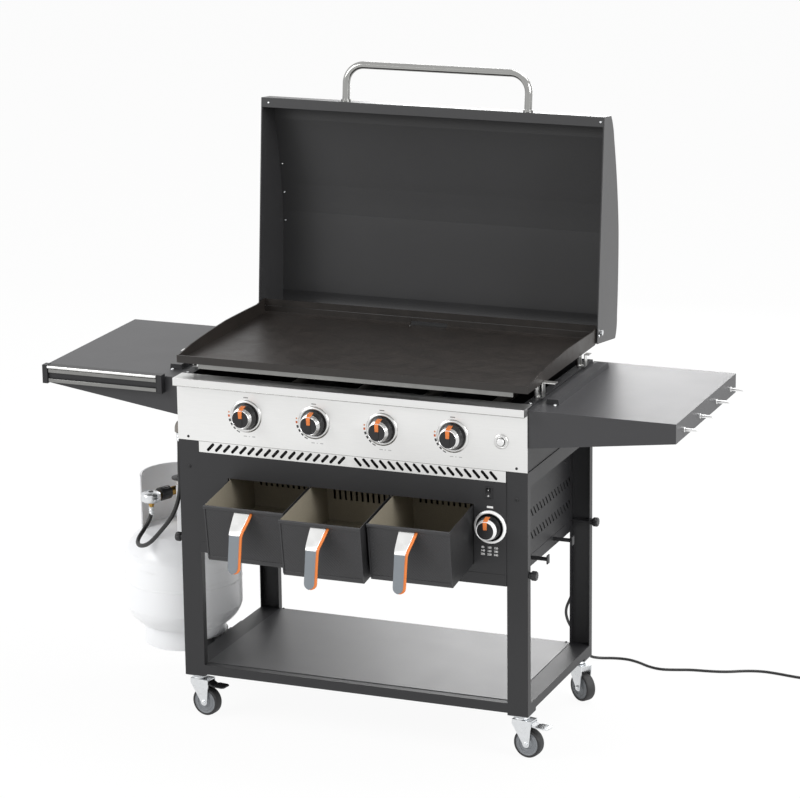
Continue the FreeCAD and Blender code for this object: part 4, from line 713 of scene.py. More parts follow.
@dataclass
class Studio:
    """Camera, floor and soft lamps."""

    eye: Point = (3040.06, -7237.12, 2999.47)
    yaw: float = 21.8689
    pitch: float = 15.0995
    roll: float = -0.6745
    lens_mm: float = 149.254
    floor_metres: float = 60.0
    floor_paint: str = "#f0f0ef"
    floor_seen: float = 0.94
    floor_mirrored: float = 0.75
    sky_light: float = 0.55
    sky_mirrored: float = 0.80
    aim: Point = (0.0, 0.1, 0.8)
    # Name, place in metres, side in metres, watts and whether the camera may see it
    lamps: tuple[tuple[str, Point, float, float, bool], ...] = (
        ("overhead_softbox", (1.2, 1.6, 4.6), 3.2, 150, True),
        ("left_softbox", (-3.8, -3.2, 3.4), 2.4, 130, True),
        ("right_softbox", (4.2, -1.0, 2.8), 2.0, 140, True),
        ("rear_softbox", (-0.9, 4.2, 1.6), 1.6, 44, False))

    def camera(self) -> None:
        """The photograph's viewpoint, worked out from the object's straight edges."""
        yaw, pitch, roll = (math.radians(angle) for angle in (self.yaw, self.pitch, self.roll))
        back = Vector((math.sin(yaw) * math.cos(pitch), -math.cos(yaw) * math.cos(pitch),
                       math.sin(pitch)))
        right = Vector((math.cos(yaw), math.sin(yaw), 0))
        up = back.cross(right)
        leaned_right = right * math.cos(roll) + up * math.sin(roll)
        leaned_up = up * math.cos(roll) - right * math.sin(roll)
        turn = Matrix((leaned_right, leaned_up, back)).transposed().to_4x4()
        data = bpy.data.cameras.new("photo_camera")
        data.lens = self.lens_mm
        data.sensor_width = 36.0
        data.clip_end = 200.0
        camera = add_object("photo_camera", data)
        camera.matrix_world = Matrix.Translation(cart(*self.eye)) @ turn
        bpy.context.scene.camera = camera

    def floor(self) -> None:
        """A pale floor that the camera sees as white and that keeps a soft shadow."""
        half = self.floor_metres / 2
        mesh = bpy.data.meshes.new("pale_floor")
        mesh.from_pydata([(-half, -half, 0), (half, -half, 0), (half, half, 0),
                          (-half, half, 0)], [], [(0, 1, 2, 3)])
        floor = add_object("pale_floor", mesh)
        made = bpy.data.materials.new("pale_studio_floor")
        tree = blank_tree(made)
        paint = add_node(tree, "ShaderNodeBsdfDiffuse", {"Color": linear(self.floor_paint)})
        glow = add_node(tree, "ShaderNodeEmission", {"Color": (1, 1, 1, 1), "Strength": 1.0})
        path = add_node(tree, "ShaderNodeLightPath").outputs
        seen = calculate(tree, "MULTIPLY", path["Is Camera Ray"], self.floor_seen)
        mirrored = calculate(tree, "MULTIPLY", path["Is Glossy Ray"], self.floor_mirrored)
        both = add_node(tree, "ShaderNodeMixShader", {
            0: calculate(tree, "MAXIMUM", seen, mirrored), 1: paint.outputs[0],
            2: glow.outputs[0]})
        add_node(tree, "ShaderNodeOutputMaterial", {"Surface": both.outputs[0]})
        mesh.materials.append(made)

    def world(self) -> None:
        """A plain white surround, dimmer as a light than as a backdrop."""
        world = bpy.data.worlds.new("studio_surround")
        tree = blank_tree(world)
        path = add_node(tree, "ShaderNodeLightPath").outputs
        shown = calculate(tree, "MAXIMUM", path["Is Camera Ray"], path["Is Transmission Ray"])
        mirrored = calculate(tree, "MULTIPLY", path["Is Glossy Ray"], self.sky_mirrored)
        share = calculate(tree, "MAXIMUM", shown, mirrored)
        light = add_node(tree, "ShaderNodeBackground", {
            "Color": (1, 1, 1, 1), "Strength": remap(tree, share, (self.sky_light, 1.0))})
        add_node(tree, "ShaderNodeOutputWorld", {"Surface": light.outputs[0]})
        bpy.context.scene.world = world

    def lamp(self, name: str, spot: Point, side: float, watts: float, seen: bool) -> None:
        """One square softbox that faces the object."""
        data = bpy.data.lights.new(name, "AREA")
        data.shape = "SQUARE"
        data.size = side
        data.energy = watts
        lamp = add_object(name, data)
        lamp.location = spot
        facing = (Vector(spot) - Vector(self.aim)).to_track_quat("Z", "Y")
        lamp.rotation_euler = facing.to_euler()
        lamp.visible_camera = seen

    def build(self) -> None:
        """Camera, floor, surround and lamps."""
        self.camera()
        self.floor()
        self.world()
        for lamp in self.lamps:
            self.lamp(*lamp)
        bpy.context.scene.view_settings.view_transform = "Standard"


def spline_of(name: str, spots: Sequence[Vector], radius_mm: float,
              finish: Finish) -> bpy.types.Object:
    """A round lead along one smooth NURBS line.

    Args:
        name: The piece's name.
        spots: Control points in the row's frame, in metres.
        radius_mm: The lead's radius.
        finish: What it is made of.

    Returns:
        The curve object.
    """
    data = bpy.data.curves.new(name, "CURVE")
    data.dimensions = "3D"
    data.bevel_depth = radius_mm * MM
    data.bevel_resolution = 5
    data.resolution_u = 8
    data.use_fill_caps = True
    line = data.splines.new("NURBS")
    line.points.add(len(spots) - 1)
    for point, spot in zip(line.points, spots):
        point.co = (*spot, 1.0)
    line.order_u = 3
    line.use_endpoint_u = True
    data.materials.append(finish.material())
    return add_object(name, data)


@dataclass
class MainsLead:
    """Mains lead from the fryer's back to its coil on the floor, with its relief and plug."""

    radius: float = 3.75
    exit: Point = (385, 525, 458)
    coil_centre: Point = (1012.5, 844)
    coil_half: float = 49.0
    coil_stub: float = 7.5
    pitch: float = 8.1
    low: float = 4.1
    points_per_turn: int = 16
    # Places that the lead passes up to its coil, the same as in the CAD model
    route: tuple[Point, ...] = (
        (385, 525, 458), (385, 548, 458), (384.5, 571, 446), (385, 582, 420), (384, 585, 384),
        (393, 588, 345), (397, 592, 305), (387, 597, 262), (368, 604, 220), (351, 614, 184),
        (351, 630, 148), (362, 652, 113), (370, 682, 78), (372, 714, 42), (376, 742, 13),
        (398, 764, 4.1), (430, 776, 4.1), (468, 781, 4.1), (505, 768, 4.1),
        (540, 744, 4.1), (577, 733, 4.1), (614, 743, 4.1), (654, 758, 4.1),
        (702, 763, 4.1), (748, 774, 4.1), (790, 798, 4.1), (835, 811, 4.1),
        (882, 806, 4.1), (928, 797, 4.1), (967, 795, 4.1))

    def coil(self) -> list[Vector]:
        """Control points of the coil: half turns that spiral in, climb and spiral out above."""
        half, pitch = self.coil_half, self.pitch
        ends = (-half, half - pitch / 2, -(half - pitch), half - 1.5 * pitch,
                -(half - 2 * pitch), half - pitch, -(half - pitch / 2), half + 1.5 * pitch)
        levels = [self.low] * 4 + [self.low + pitch] * 4
        steps = self.points_per_turn // 2
        swell = 1 / math.cos(math.pi / self.points_per_turn)
        spots = []
        for turn in range(7):
            middle = (ends[turn] + ends[turn + 1]) / 2
            reach = abs(ends[turn + 1] - ends[turn]) / 2 * swell
            side = 1 if turn % 2 == 0 else -1
            start = 1 if ends[turn + 1] > ends[turn] else -1
            for step in range(steps):
                share = (step + 0.5) / steps
                angle = math.pi * share
                across = side * math.sin(angle) * reach
                back = middle - start * math.cos(angle) * reach
                climb = levels[turn] + (levels[turn + 1] - levels[turn]) * share
                spots.append(cart(self.coil_centre[0] + across, self.coil_centre[1] + back,
                                  climb))
        for stub in (0.0, self.coil_stub):
            spots.append(cart(self.coil_centre[0] - stub, self.coil_centre[1] + ends[-1],
                              levels[-1]))
        return spots

    def plug(self) -> bpy.types.Object:
        """Moulded plug with finger ribs, two flat blades and a round earth pin."""
        shape = Shape()
        face = self.coil_centre[0] - self.coil_stub
        end = self.coil_centre[1] + self.coil_half + 1.5 * self.pitch
        level = self.low + self.pitch
        # Distance from the cord's end, half width and half height
        sections = ((0, 5.2, 5.2), (4, 6.6, 6.2), (8, 7.4, 7.2), (12, 11.5, 10.6),
                    (18, 12.9, 11.9), (24, 11.9, 11.2), (30, 12.9, 11.9), (37.8, 12.6, 11.7))
        squareness = 0.55
        loops = []
        for along, wide, tall in sections:
            loop = []
            for angle in around(24):
                cos, sin = math.cos(angle), math.sin(angle)
                loop.append(Vector((
                    face - along, end + wide * math.copysign(abs(cos) ** squareness, cos),
                    level + tall * math.copysign(abs(sin) ** squareness, sin))))
            loops.append(loop)
        shape.rings(loops, Finishes.BLACK_PLASTIC)
        for side in (-6.3, 6.3):
            shape.block((face - 54, end + side - 0.8, level - 6),
                        (face - 37, end + side + 0.8, level + 0.4), Finishes.BRASS)
        shape.turned(Axis.X, (end, level + 5.5), [
            (0, face - 56), (1.6, face - 56), (2.4, face - 54.5), (2.4, face - 37)],
            Finishes.BRASS, 20)
        return shape.publish("mains_plug", "root", ["plug"], ease_mm=0.3)

    def relief(self) -> bpy.types.Object:
        """Tapered strain relief with ribs, out of the fryer's back."""
        shape = Shape()
        back = self.exit[1]
        profile = [(0, back - 30), (7.5, back - 30), (7.5, back - 26), (6.2, back - 25)]
        ribs, rib_pitch, taper, groove = 5, 4.2, 0.28, 1.1
        for rib in range(ribs):
            start = back - 24 + rib * rib_pitch
            wide = 6.0 - taper * rib
            profile += [(wide, start), (wide, start + 2.2), (wide - groove, start + 2.8),
                        (wide - groove, start + 3.6)]
        profile += [(4.5, back - 1.5), (4.5, back), (0, back)]
        shape.turned(Axis.Y, (self.exit[0], self.exit[2]), profile, Finishes.BLACK_PLASTIC, 28)
        return shape.publish("cord_strain_relief", "root", ["strain_relief"],
                             ease_mm=0.0)

    def build(self) -> None:
        """The lead with its coil, its relief and its plug."""
        spots = [cart(*spot) for spot in self.route] + self.coil()
        lead = spline_of("mains_lead", spots, self.radius, Finishes.SHEATH)
        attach(lead, "root")
        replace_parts(lead, "power_cord", "cord_coil")
        self.plug()
        self.relief()
        log.info("mains lead of %d points", len(spots))


@dataclass
class GasSupply:
    """White cylinder with its valve, the regulator and the hose up to the manifold."""

    tank: Point = (-600.0, 288.0)
    outlet_turn: float = -112.0
    outlet_z: float = 515.0
    collar_gap: float = 80.0
    bell_reach: float = 108.0
    barb_drop: float = 26.0
    hose_radius: float = 5.5
    inlet: Point = (-488.0, 50.0, 742.0)
    # Places that the hose passes after its straight start under the regulator
    route: tuple[Point, ...] = (
        (-651, 166, 434), (-655, 128, 414), (-632, 90, 410), (-592, 66, 426), (-550, 50, 469),
        (-506, 45, 522), (-487, 47, 585), (-490, 50, 645), (-488, 50, 694), (-488, 50, 742))

    def outlet_pose(self) -> Matrix:
        """The frame whose X runs out along the valve's outlet."""
        return (Matrix.Translation((self.tank[0], self.tank[1], self.outlet_z))
                @ Matrix.Rotation(math.radians(self.outlet_turn), 4, "Z"))

    def hose(self) -> None:
        """Rubber hose with a crimped ferrule at each end."""
        start = self.outlet_pose() @ Vector((self.bell_reach, 0, -self.barb_drop))
        spots = [cart(*start), cart(*(start - Vector((0, 0, self.barb_drop))))]
        spots += [cart(*spot) for spot in self.route]
        hose = spline_of("gas_supply_hose", spots, self.hose_radius, Finishes.HOSE)
        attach(hose, "root")
        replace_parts(hose, "gas_hose")
        crimps = Shape()
        for spot, low in ((start, start.z - 22), (Vector(self.inlet), self.inlet[2] - 24)):
            profile = [(5.6, low), (7.2, low + 0.6), (7.2, low + 6), (6.5, low + 7),
                       (7.2, low + 8), (7.2, low + 14), (6.5, low + 15), (7.2, low + 16),
                       (7.2, low + 21.2), (5.6, low + 22)]
            crimps.turned(Axis.Z, (spot.x, spot.y), profile, Finishes.ZINC, 28)
        ferrules = crimps.publish("hose_ferrules", "root", ease_mm=0.0)

    def regulator(self) -> None:
        """Hand nut with grips, hexagon neck and a domed regulator with its vent."""
        shape = Shape(self.outlet_pose())
        ribs, nut_radius, rib_height = 14, 16.8, 1.2
        shape.fluted(Axis.X, (0, 0), ((0.0, 46), (1.0, 47.5), (1.0, 76), (0.0, 80)), ribs * 6,
                     lambda deep, angle: nut_radius + deep * rib_height * abs(
                         math.cos(ribs * angle / 2)) ** 0.5, Finishes.BLACK_PLASTIC)
        shape.turned(Axis.X, (0, 0), [(0, 80), (11.5, 80), (11.5, 86), (9.8, 87), (9.8, 98)],
                     Finishes.BRASS, 6)
        bell = (self.bell_reach, 0)
        shape.turned(Axis.Z, bell, [
            (0, -14), (8, -14), (19, -13.4), (24.5, -10), (26, -4), (26, 2), (25.6, 3),
            (25.6, 5), (26, 6), (24.6, 10), (17, 13.2), (8, 14), (0, 14)], Finishes.ZINC, 48)
        shape.turned(Axis.Z, bell, [(6.6, 13.6), (6.6, 15.2), (4.6, 15.6), (0, 15.6)],
                     Finishes.BLACK_PLASTIC, 24)
        shape.turned(Axis.Z, bell, [(8, -14), (8, -22), (6.4, -23), (6.4, -26), (0, -26)],
                     Finishes.BRASS, 6)
        screw_circle = 20.0
        for angle in around(6):
            shape.screw((bell[0] + screw_circle * math.cos(angle),
                         screw_circle * math.sin(angle), 11.6), (0, 0, 1), 2.0, Finishes.ZINC)
        shape.publish("gas_regulator", "root", ["regulator"], ease_mm=0.3)

    def valve(self) -> None:
        """Brass sleeves over the valve's body and outlet, and the lobed hand wheel."""
        sleeve = Shape(self.outlet_pose())
        sleeve.turned(Axis.Z, (0, 0), [
            (13.4, -90), (15.5, -89), (15.5, -80), (13.4, -79), (13.4, 12), (11.0, 14),
            (11.0, 21.5), (4.2, 21.5)], Finishes.BRASS, 40)
        sleeve.turned(Axis.X, (0, 0), [(11.4, 8), (11.4, 44), (10.4, 46.2), (6, 46.4)],
                      Finishes.BRASS, 32)
        sleeve.publish("valve_brass", "root", ease_mm=0.2)
        wheel = Shape(Matrix.Translation((self.tank[0], self.tank[1], 0)))
        lobes, lobe_depth = 6, 1.9
        rim = ((22.5, 540), (25.5, 541.2), (27.2, 543.5), (25.5, 546), (22.0, 547))
        wheel.fluted(Axis.Z, (0, 0), rim, lobes * 16,
                     lambda radius, angle: radius - lobe_depth * (
                         1 - abs(math.cos(lobes * angle / 2))), Finishes.BLACK_PLASTIC)
        wheel.turned(Axis.Z, (0, 0), [(4.1, 537), (12, 537), (12, 540.4)],
                     Finishes.BLACK_PLASTIC, 40)
        wheel.turned(Axis.Z, (0, 0), [(12.4, 546.6), (12, 548.4), (11, 549), (0, 549)],
                     Finishes.BLACK_PLASTIC, 40)
        wheel.publish("valve_hand_wheel", "handwheel",
                      ["cylinder_handwheel"], ease_mm=0.0)

    def body(self) -> None:
        """The cylinder's weld bead and the rolled edge of its collar."""
        shape = Shape(Matrix.Translation((self.tank[0], self.tank[1], 0)))
        wall, weld_rise, weld_low, weld_tall = 152.9, 0.9, 271, 6
        weld = [(wall + weld_rise * math.sin(math.pi * step / weld_tall), weld_low + step)
                for step in range(weld_tall + 1)]
        shape.turned(Axis.Z, (0, 0), weld, Finishes.TANK, 96)
        start = math.radians(self.outlet_turn + self.collar_gap / 2)
        sweep = math.tau - math.radians(self.collar_gap)
        steps, collar_radius, edge_radius, edge_level = 72, 106.5, 2.6, 553.4
        loops = []
        for step in range(steps + 1):
            angle = start + sweep * step / steps
            loop = []
            for lean in around(12):
                radius = collar_radius + edge_radius * math.cos(lean)
                loop.append(Axis.Z.place(radius * math.cos(angle), radius * math.sin(angle),
                                         edge_level + edge_radius * math.sin(lean)))
            loops.append(loop)
        shape.rings(loops, Finishes.TANK)
        shape.publish("cylinder_beads", "root", ease_mm=0.0)

    def build(self) -> None:
        """Hose, regulator, valve and the dressed cylinder."""
        self.hose()
        self.regulator()
        self.valve()
        self.body()
        coat(Finishes.TANK, "lp_cylinder")
        coat(Finishes.CART_COAT, "cylinder_holder")


@dataclass
class Cart:
    """Legs, shelf, burner box and what fastens them."""

    leg_x: float = 437.0
    leg_back: float = 493.0
    deck_half: float = 410.8
    deck_top: float = 144.2

    def screws(self) -> None:
        """Pan-head screws in the legs, the panel's lower corners and the shelf's rear corners."""
        shape = Shape()
        black = Finishes.BLACK_PLASTIC
        for side in (-1, 1):
            shape.screw((side * self.leg_x, 0, 670), (0, -1, 0), 4.6, black)
            shape.screw((side * self.leg_x, -2, 748.5), (0, -1, 0), 3.4, black)
            shape.screws([(side * self.leg_x, self.leg_back, up) for up in (127, 690)],
                         (0, 1, 0), 3.6, black)
            shape.screw((side * 400, 478, self.deck_top), (0, 0, 1), 3.2, black)
        shape.publish("cart_screws", "root", ease_mm=0.0)

    def deck(self) -> None:
        """The shelf's own sheet, whose edge shows as a line beside the side frames' rails."""
        shape = Shape()
        shape.block((-self.deck_half, 22, self.deck_top - 1.6),
                    (self.deck_half, 480, self.deck_top), Finishes.TABLE_COAT)
        shape.publish("shelf_deck", "root", ease_mm=0.3)

    def dark_shade_sheets(self) -> None:
        """Near-black sheets behind the slotted strip and behind the casing's side vents: painted
        shade that stands in for the dark inside seen through the slots.
        """
        shape = Shape()
        # Painted shade: dark sheets where the casing's inside would lie in shadow
        shape.block((-409.5, 8.0, 705.6), (409.5, 9.0, 737.4), Finishes.PAINTED_SHADE_BLACK)
        shape.twins((408.2, 60, 500), (408.9, 440, 610), Finishes.PAINTED_SHADE_BLACK)
        shape.publish("vent_painted_shade_sheets", "root", ease_mm=0.0)

    def build(self) -> None:
        """Coats and screws."""
        coat(Finishes.CART_COAT, "side_frame_left", "side_frame_right", "bottom_shelf",
             "burner_box")
        coat(Finishes.LOCATOR, "plate_supports")
        coat(Finishes.ZINC, "hinge_bolts", "grease_cup")
        coat(Finishes.BURNER, "burner_tubes", "gas_manifold")
        self.screws()
        self.deck()
        # Dark sheets that paint the shade seen through the vent slots
        self.dark_shade_sheets()


@dataclass
class Caster:
    """One swivel caster: pressed fork, wheel with a ringed hub, and a brake in front."""

    word: str
    across: float
    back: float
    turn: float
    pedal: str = ""
    pedal_finish: Finish = Finishes.ZINC
    axle: Point = (20.0, 37.5)
    nut_face: float = 18.2

    def heading(self) -> Matrix:
        """The caster's own frame, with X along its trail."""
        return (Matrix.Translation((self.across, self.back, 0))
                @ Matrix.Rotation(math.radians(self.turn), 4, "Z"))

    def wheel(self) -> None:
        """Tyre with a soft shoulder, a grey hub with two rings, and its thread guards."""
        shape = Shape(self.heading())
        tread = [(30.5, -12.4), (33.5, -13), (35.8, -12.2), (37.0, -10), (37.5, -6), (37.5, 6),
                 (37.0, 10), (35.8, 12.2), (33.5, 13), (30.5, 12.4)]
        shape.turned(Axis.Y, self.axle, tread, Finishes.TYRE, 64)
        hub = [(30.5, 12.4), (29.6, 11.2), (28.2, 10.8), (24.5, 10.8), (23.6, 11.8),
               (21.8, 11.8), (20.9, 10.6), (13.5, 10.6), (12.2, 12.6), (10, 14.3), (4.1, 14.3)]
        for side in (-1, 1):
            shape.turned(Axis.Y, self.axle, sided(hub, side), Finishes.HUB, 64)
        shape.turned(Axis.Y, self.axle, [(4.1, -14.3), (4.1, 14.3)], Finishes.HUB, 32)
        shape.publish(f"caster_tyre_{self.word}", f"wheel_{self.word}",
                      [f"caster_wheel_{self.word}"], ease_mm=0.0)

    def axle_ends(self) -> None:
        """Washers and hexagon heads on the fork, and the ring of the swivel's race."""
        shape = Shape(self.heading())
        face = self.nut_face
        washer = [(7.4, face - 0.7), (7.4, face), (5.6, face + 0.1)]
        hexagon = [(6.2, face), (6.2, face + 2.8), (5.2, face + 3.6), (0, face + 3.6)]
        for side in (-1, 1):
            for profile, steps in ((washer, 32), (hexagon, 6)):
                shape.turned(Axis.Y, self.axle, sided(profile, side), Finishes.ZINC, steps)
        shape.turned(Axis.Z, (0, 0), [(17.2, 98.2), (19.5, 99), (20.5, 101.5), (19.5, 104),
                                      (17.2, 104.8)], Finishes.ZINC, 40)
        shape.publish(f"caster_nuts_{self.word}", f"swivel_{self.word}", ease_mm=0.3)

    def build(self) -> None:
        """The wheel, its nuts and the coats of the fork and pedal."""
        self.wheel()
        self.axle_ends()
        coat(Finishes.ZINC, f"caster_fork_{self.word}")
        if self.pedal:
            coat(self.pedal_finish, f"brake_pedal_{self.pedal}")


class Casters:
    """The four casters and their plates."""

    FOUR = (
        Caster("fl", -438, 30, -9, "left", Finishes.BLACK_PLASTIC),
        Caster("fr", 438, 30, -9, "right", Finishes.ZINC),
        Caster("rl", -438, 463, -14),
        Caster("rr", 438, 463, -32.7),
    )

    def build(self) -> None:
        """Every caster, then the shared plates."""
        for caster in self.FOUR:
            caster.build()
        coat(Finishes.ZINC, "caster_plates")


@dataclass
class Knob:
    """One control knob: black skirt, chromed ring, recessed face and an orange pointer."""

    name: str
    body: str
    node: str
    across: float
    up: float
    ring: Finish = Finishes.CHROME

    def build(self) -> None:
        """The knob on its own body."""
        shape = Shape()
        black, ring = Finishes.KNOB_PLASTIC, self.ring
        profile = [(4, 20), (4, -5.4), (29.4, -5.4), (30, -6.4), (30, -12.5), (29.4, -15.5),
                   (27.2, -24), (26.6, -28.4), (26.0, -29.6), (25.0, -33), (23.8, -37.4),
                   (23.2, -39.2), (22.7, -39.8), (22.0, -39.6), (21.5, -38.4), (0, -38.4)]
        finishes = [black] * 7 + [ring] * 7 + [black]
        shape.turned(Axis.Y, (self.across, self.up), profile, finishes, 72)
        # Stations out along the pointer: distance from the axis, inner and outer depth, half width
        stations = ((2.6, -37.4, -40.3, 4.3), (4.0, -37.4, -40.8, 4.4), (19.5, -37.4, -41.2, 4.9),
                    (24.4, -31.0, -37.8, 5.3), (27.8, -20.0, -29.0, 5.8), (29.8, -15.0, -21.0, 5.8))
        loops = [[Vector((self.across + side * half, deep, self.up + out))
                  for side, deep in ((-1, inner), (1, inner), (1, outer), (-1, outer))]
                 for out, inner, outer, half in stations]
        shape.rings(loops, Finishes.ORANGE)
        shape.slab(Axis.X, [(along, self.up + out) for out, along in (
            (-16.5, -38.2), (-15.5, -39.6), (2.4, -39.6), (2.4, -38.2))],
            self.across - 5.0, self.across + 5.0, black)
        shape.publish(self.name, self.body, [self.node], ease_mm=0.5)


@dataclass
class ControlPanel:
    """Stainless front with its bezels, dial marks, igniter and knobs."""

    level: float = 815.0
    places: tuple[float, ...] = (-276.6, -93.0, 88.0, 273.0)
    igniter: Point = (398.4, 813.0)
    fryer: Point = (368.4, 594.0)
    face: float = -2.0
    ink: float = 0.12
    half_width: float = 465.0
    front_low: float = 739.4
    front_high: float = 885.0
    number_size: float = 7.0
    number_pitch: Point = (17.0, 8.8)
    number_first: Point = (-19.0, -55.0)
    slot_first: float = 21.8
    slot_pitch: float = 22.2
    slot_count: int = 17
    slot_level: float = 724.8
    slot_half: float = 3.8
    slot_reach: Point = (6.8, 7.3)

    def bezels(self) -> None:
        """Pressed dishes behind the knobs and the igniter's stepped collar."""
        shape = Shape()
        dish = [(9, -2.0), (9, -4.2), (30, -4.2), (32.5, -4.8), (35.2, -7.0), (37.2, -7.2),
                (39.8, -6.2), (41.6, -4.2), (42, -2.0)]
        spots = [(across, self.level) for across in self.places] + [self.fryer]
        for spot in spots:
            finishes = [Finishes.BEZEL] * 8
            if spot is self.fryer:
                finishes = [Finishes.KNOB_PLASTIC] * 4 + [Finishes.WHITE_BEZEL] * 4
            shape.turned(Axis.Y, spot, dish, finishes, 72)
        collar = [(5.06, 30), (11.8, 30), (11.8, -2), (18.5, -2), (18.5, -4.4), (17.2, -7.2),
                  (15.6, -8.0), (13.6, -8.0), (11.4, -6.4), (9.6, -4.0), (9.6, 6), (5.06, 6)]
        shape.turned(Axis.Y, self.igniter, collar, Finishes.BEZEL, 56)
        shape.publish("dial_bezels", "root", ["knob_bezels"], ease_mm=0.0)

    def button(self) -> None:
        """Igniter's push button with a shallow dished face."""
        shape = Shape()
        shape.turned(Axis.Y, self.igniter, [
            (0, 24), (5, 24), (5, 0), (9.2, 0), (9.2, -10.8), (8.6, -12.0), (7.6, -12.5),
            (6.2, -12.4), (3, -11.7), (0, -11.5)], Finishes.CHROME, 48)
        shape.publish("igniter_push", "igniter", ["igniter_button"],
                      ease_mm=0.0)

    def mark(self, shape: Shape, centre: Point, angle: float, reach: float, long: float,
             wide: float, finish: Finish) -> None:
        """One printed bar, pointing at its dial's middle.

        Args:
            shape: The shape that takes it.
            centre: The dial's middle.
            angle: Degrees round from the right, counter-clockwise.
            reach: Distance of the bar's middle from the dial's.
            long: Length towards the middle.
            wide: Width.
            finish: The ink.
        """
        turn = math.radians(angle)
        out = Vector((math.cos(turn), math.sin(turn)))
        side = Vector((-out.y, out.x))
        middle = Vector(centre) + out * reach
        corners = [middle + out * sx * long / 2 + side * sy * wide / 2
                   for sx, sy in ((-1, -1), (1, -1), (1, 1), (-1, 1))]
        shape.slab(Axis.Y, [tuple(corner) for corner in corners], self.face - self.ink,
                   self.face + 0.05, finish)

    def marks(self) -> None:
        """Off tick above each dial, a row of marks round its lower left and faint ones below."""
        shape = Shape()
        pale, dark = Finishes.PALE_ORANGE_INK, Finishes.DARK_INK
        # Angle, distance from the dial's middle, length towards it, width and ink
        arc = ((171.6, 47.5, 4.0, 4.0, pale), (183.3, 47.0, 5.0, 6.0, Finishes.ORANGE_INK),
               (197.0, 46.5, 5.5, 7.0, dark), (210.8, 46.0, 5.0, 7.0, dark),
               (225.8, 46.0, 4.0, 7.0, dark), (241.7, 46.5, 2.5, 9.0, dark))
        for across in self.places:
            dial = (across, self.level)
            self.mark(shape, dial, 90, 47.5, 2.6, 12.5, Finishes.GREY_INK)
            for angle, reach, long, wide, ink in arc:
                self.mark(shape, dial, angle, reach, long, wide, ink)
            for shift, wide in ((-3.4, 9.0), (7.6, 3.0), (19.6, 8.0)):
                self.mark(shape, (across + shift, self.level), 270, 52.0, 2.2, wide,
                          Finishes.PALE_INK)
        shape.publish("panel_dial_marks", "root", ease_mm=0.0)

    def fryer_marks(self) -> None:
        """White off tick above the fryer's dial."""
        shape = Shape()
        self.mark(shape, self.fryer, 90, 50.5, 5.2, 16.0, Finishes.WHITE_INK)
        shape.publish("fryer_dial_marks", "root", ease_mm=0.0)

    def numerals(self) -> None:
        """Plain numbers of the fryer's dial, three rows of three under it."""
        half_film, boldness = 0.06, 0.18
        for index in range(9):
            row, column = divmod(index, 3)
            word = str(80 + 20 * index)
            data = bpy.data.curves.new(f"dial_number_{word}", "FONT")
            data.body = word
            data.size = self.number_size * MM
            data.align_x = "CENTER"
            data.extrude = half_film * MM
            data.offset = boldness * MM
            data.materials.append(Finishes.WHITE_INK.material())
            number = add_object(f"dial_number_{word}", data)
            spot = cart(self.fryer[0] + self.number_first[0] + self.number_pitch[0] * column,
                        self.face - 0.1,
                        self.fryer[1] + self.number_first[1] - self.number_pitch[1] * row)
            number.matrix_world = Matrix.Translation(spot) @ Matrix.Rotation(
                math.pi / 2, 4, "X")
            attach(number, "root")

    def slot(self, lean: int, place: int) -> list[tuple[float, float]]:
        """Outline of one slanted slot with round ends.

        Args:
            lean: 1 for the right half, whose slots lean left, and -1 for the left half.
            place: The slot's number, counted out from the middle.

        Returns:
            Points across and up, once round.
        """
        middle = Vector((lean * (self.slot_first + self.slot_pitch * place), self.slot_level))
        along = Vector((-lean * self.slot_reach[0], self.slot_reach[1]))
        start = math.atan2(along.y, along.x) - math.pi / 2
        points = []
        for end, turn in ((along, 0.0), (-along, math.pi)):
            for step in range(7):
                angle = start + turn + math.pi * step / 6
                spot = middle + end + Vector((math.cos(angle), math.sin(angle))) * self.slot_half
                points.append((spot.x, spot.y))
        return points

    def sheet(self, name: str, outlines: Sequence[Outline], middle: float,
              half: float) -> bpy.types.Object:
        """A flat upright sheet with holes.

        Args:
            name: The piece's name.
            outlines: The outer outline, then the holes.
            middle: Depth of the sheet's middle.
            half: Half its thickness.

        Returns:
            The curve object.
        """
        data = bpy.data.curves.new(name, "CURVE")
        data.dimensions = "2D"
        data.fill_mode = "BOTH"
        data.extrude = half * MM
        for outline in outlines:
            line = data.splines.new("POLY")
            line.points.add(len(outline) - 1)
            for point, (across, up) in zip(line.points, outline):
                point.co = (across * MM, up * MM, 0.0, 1.0)
            line.use_cyclic_u = True
        data.materials.append(Finishes.PANEL_STEEL.material())
        piece = add_object(name, data)
        piece.matrix_world = Matrix.Translation(cart(0, middle, 0)) @ Matrix.Rotation(
            math.pi / 2, 4, "X")
        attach(piece, "root")
        return piece

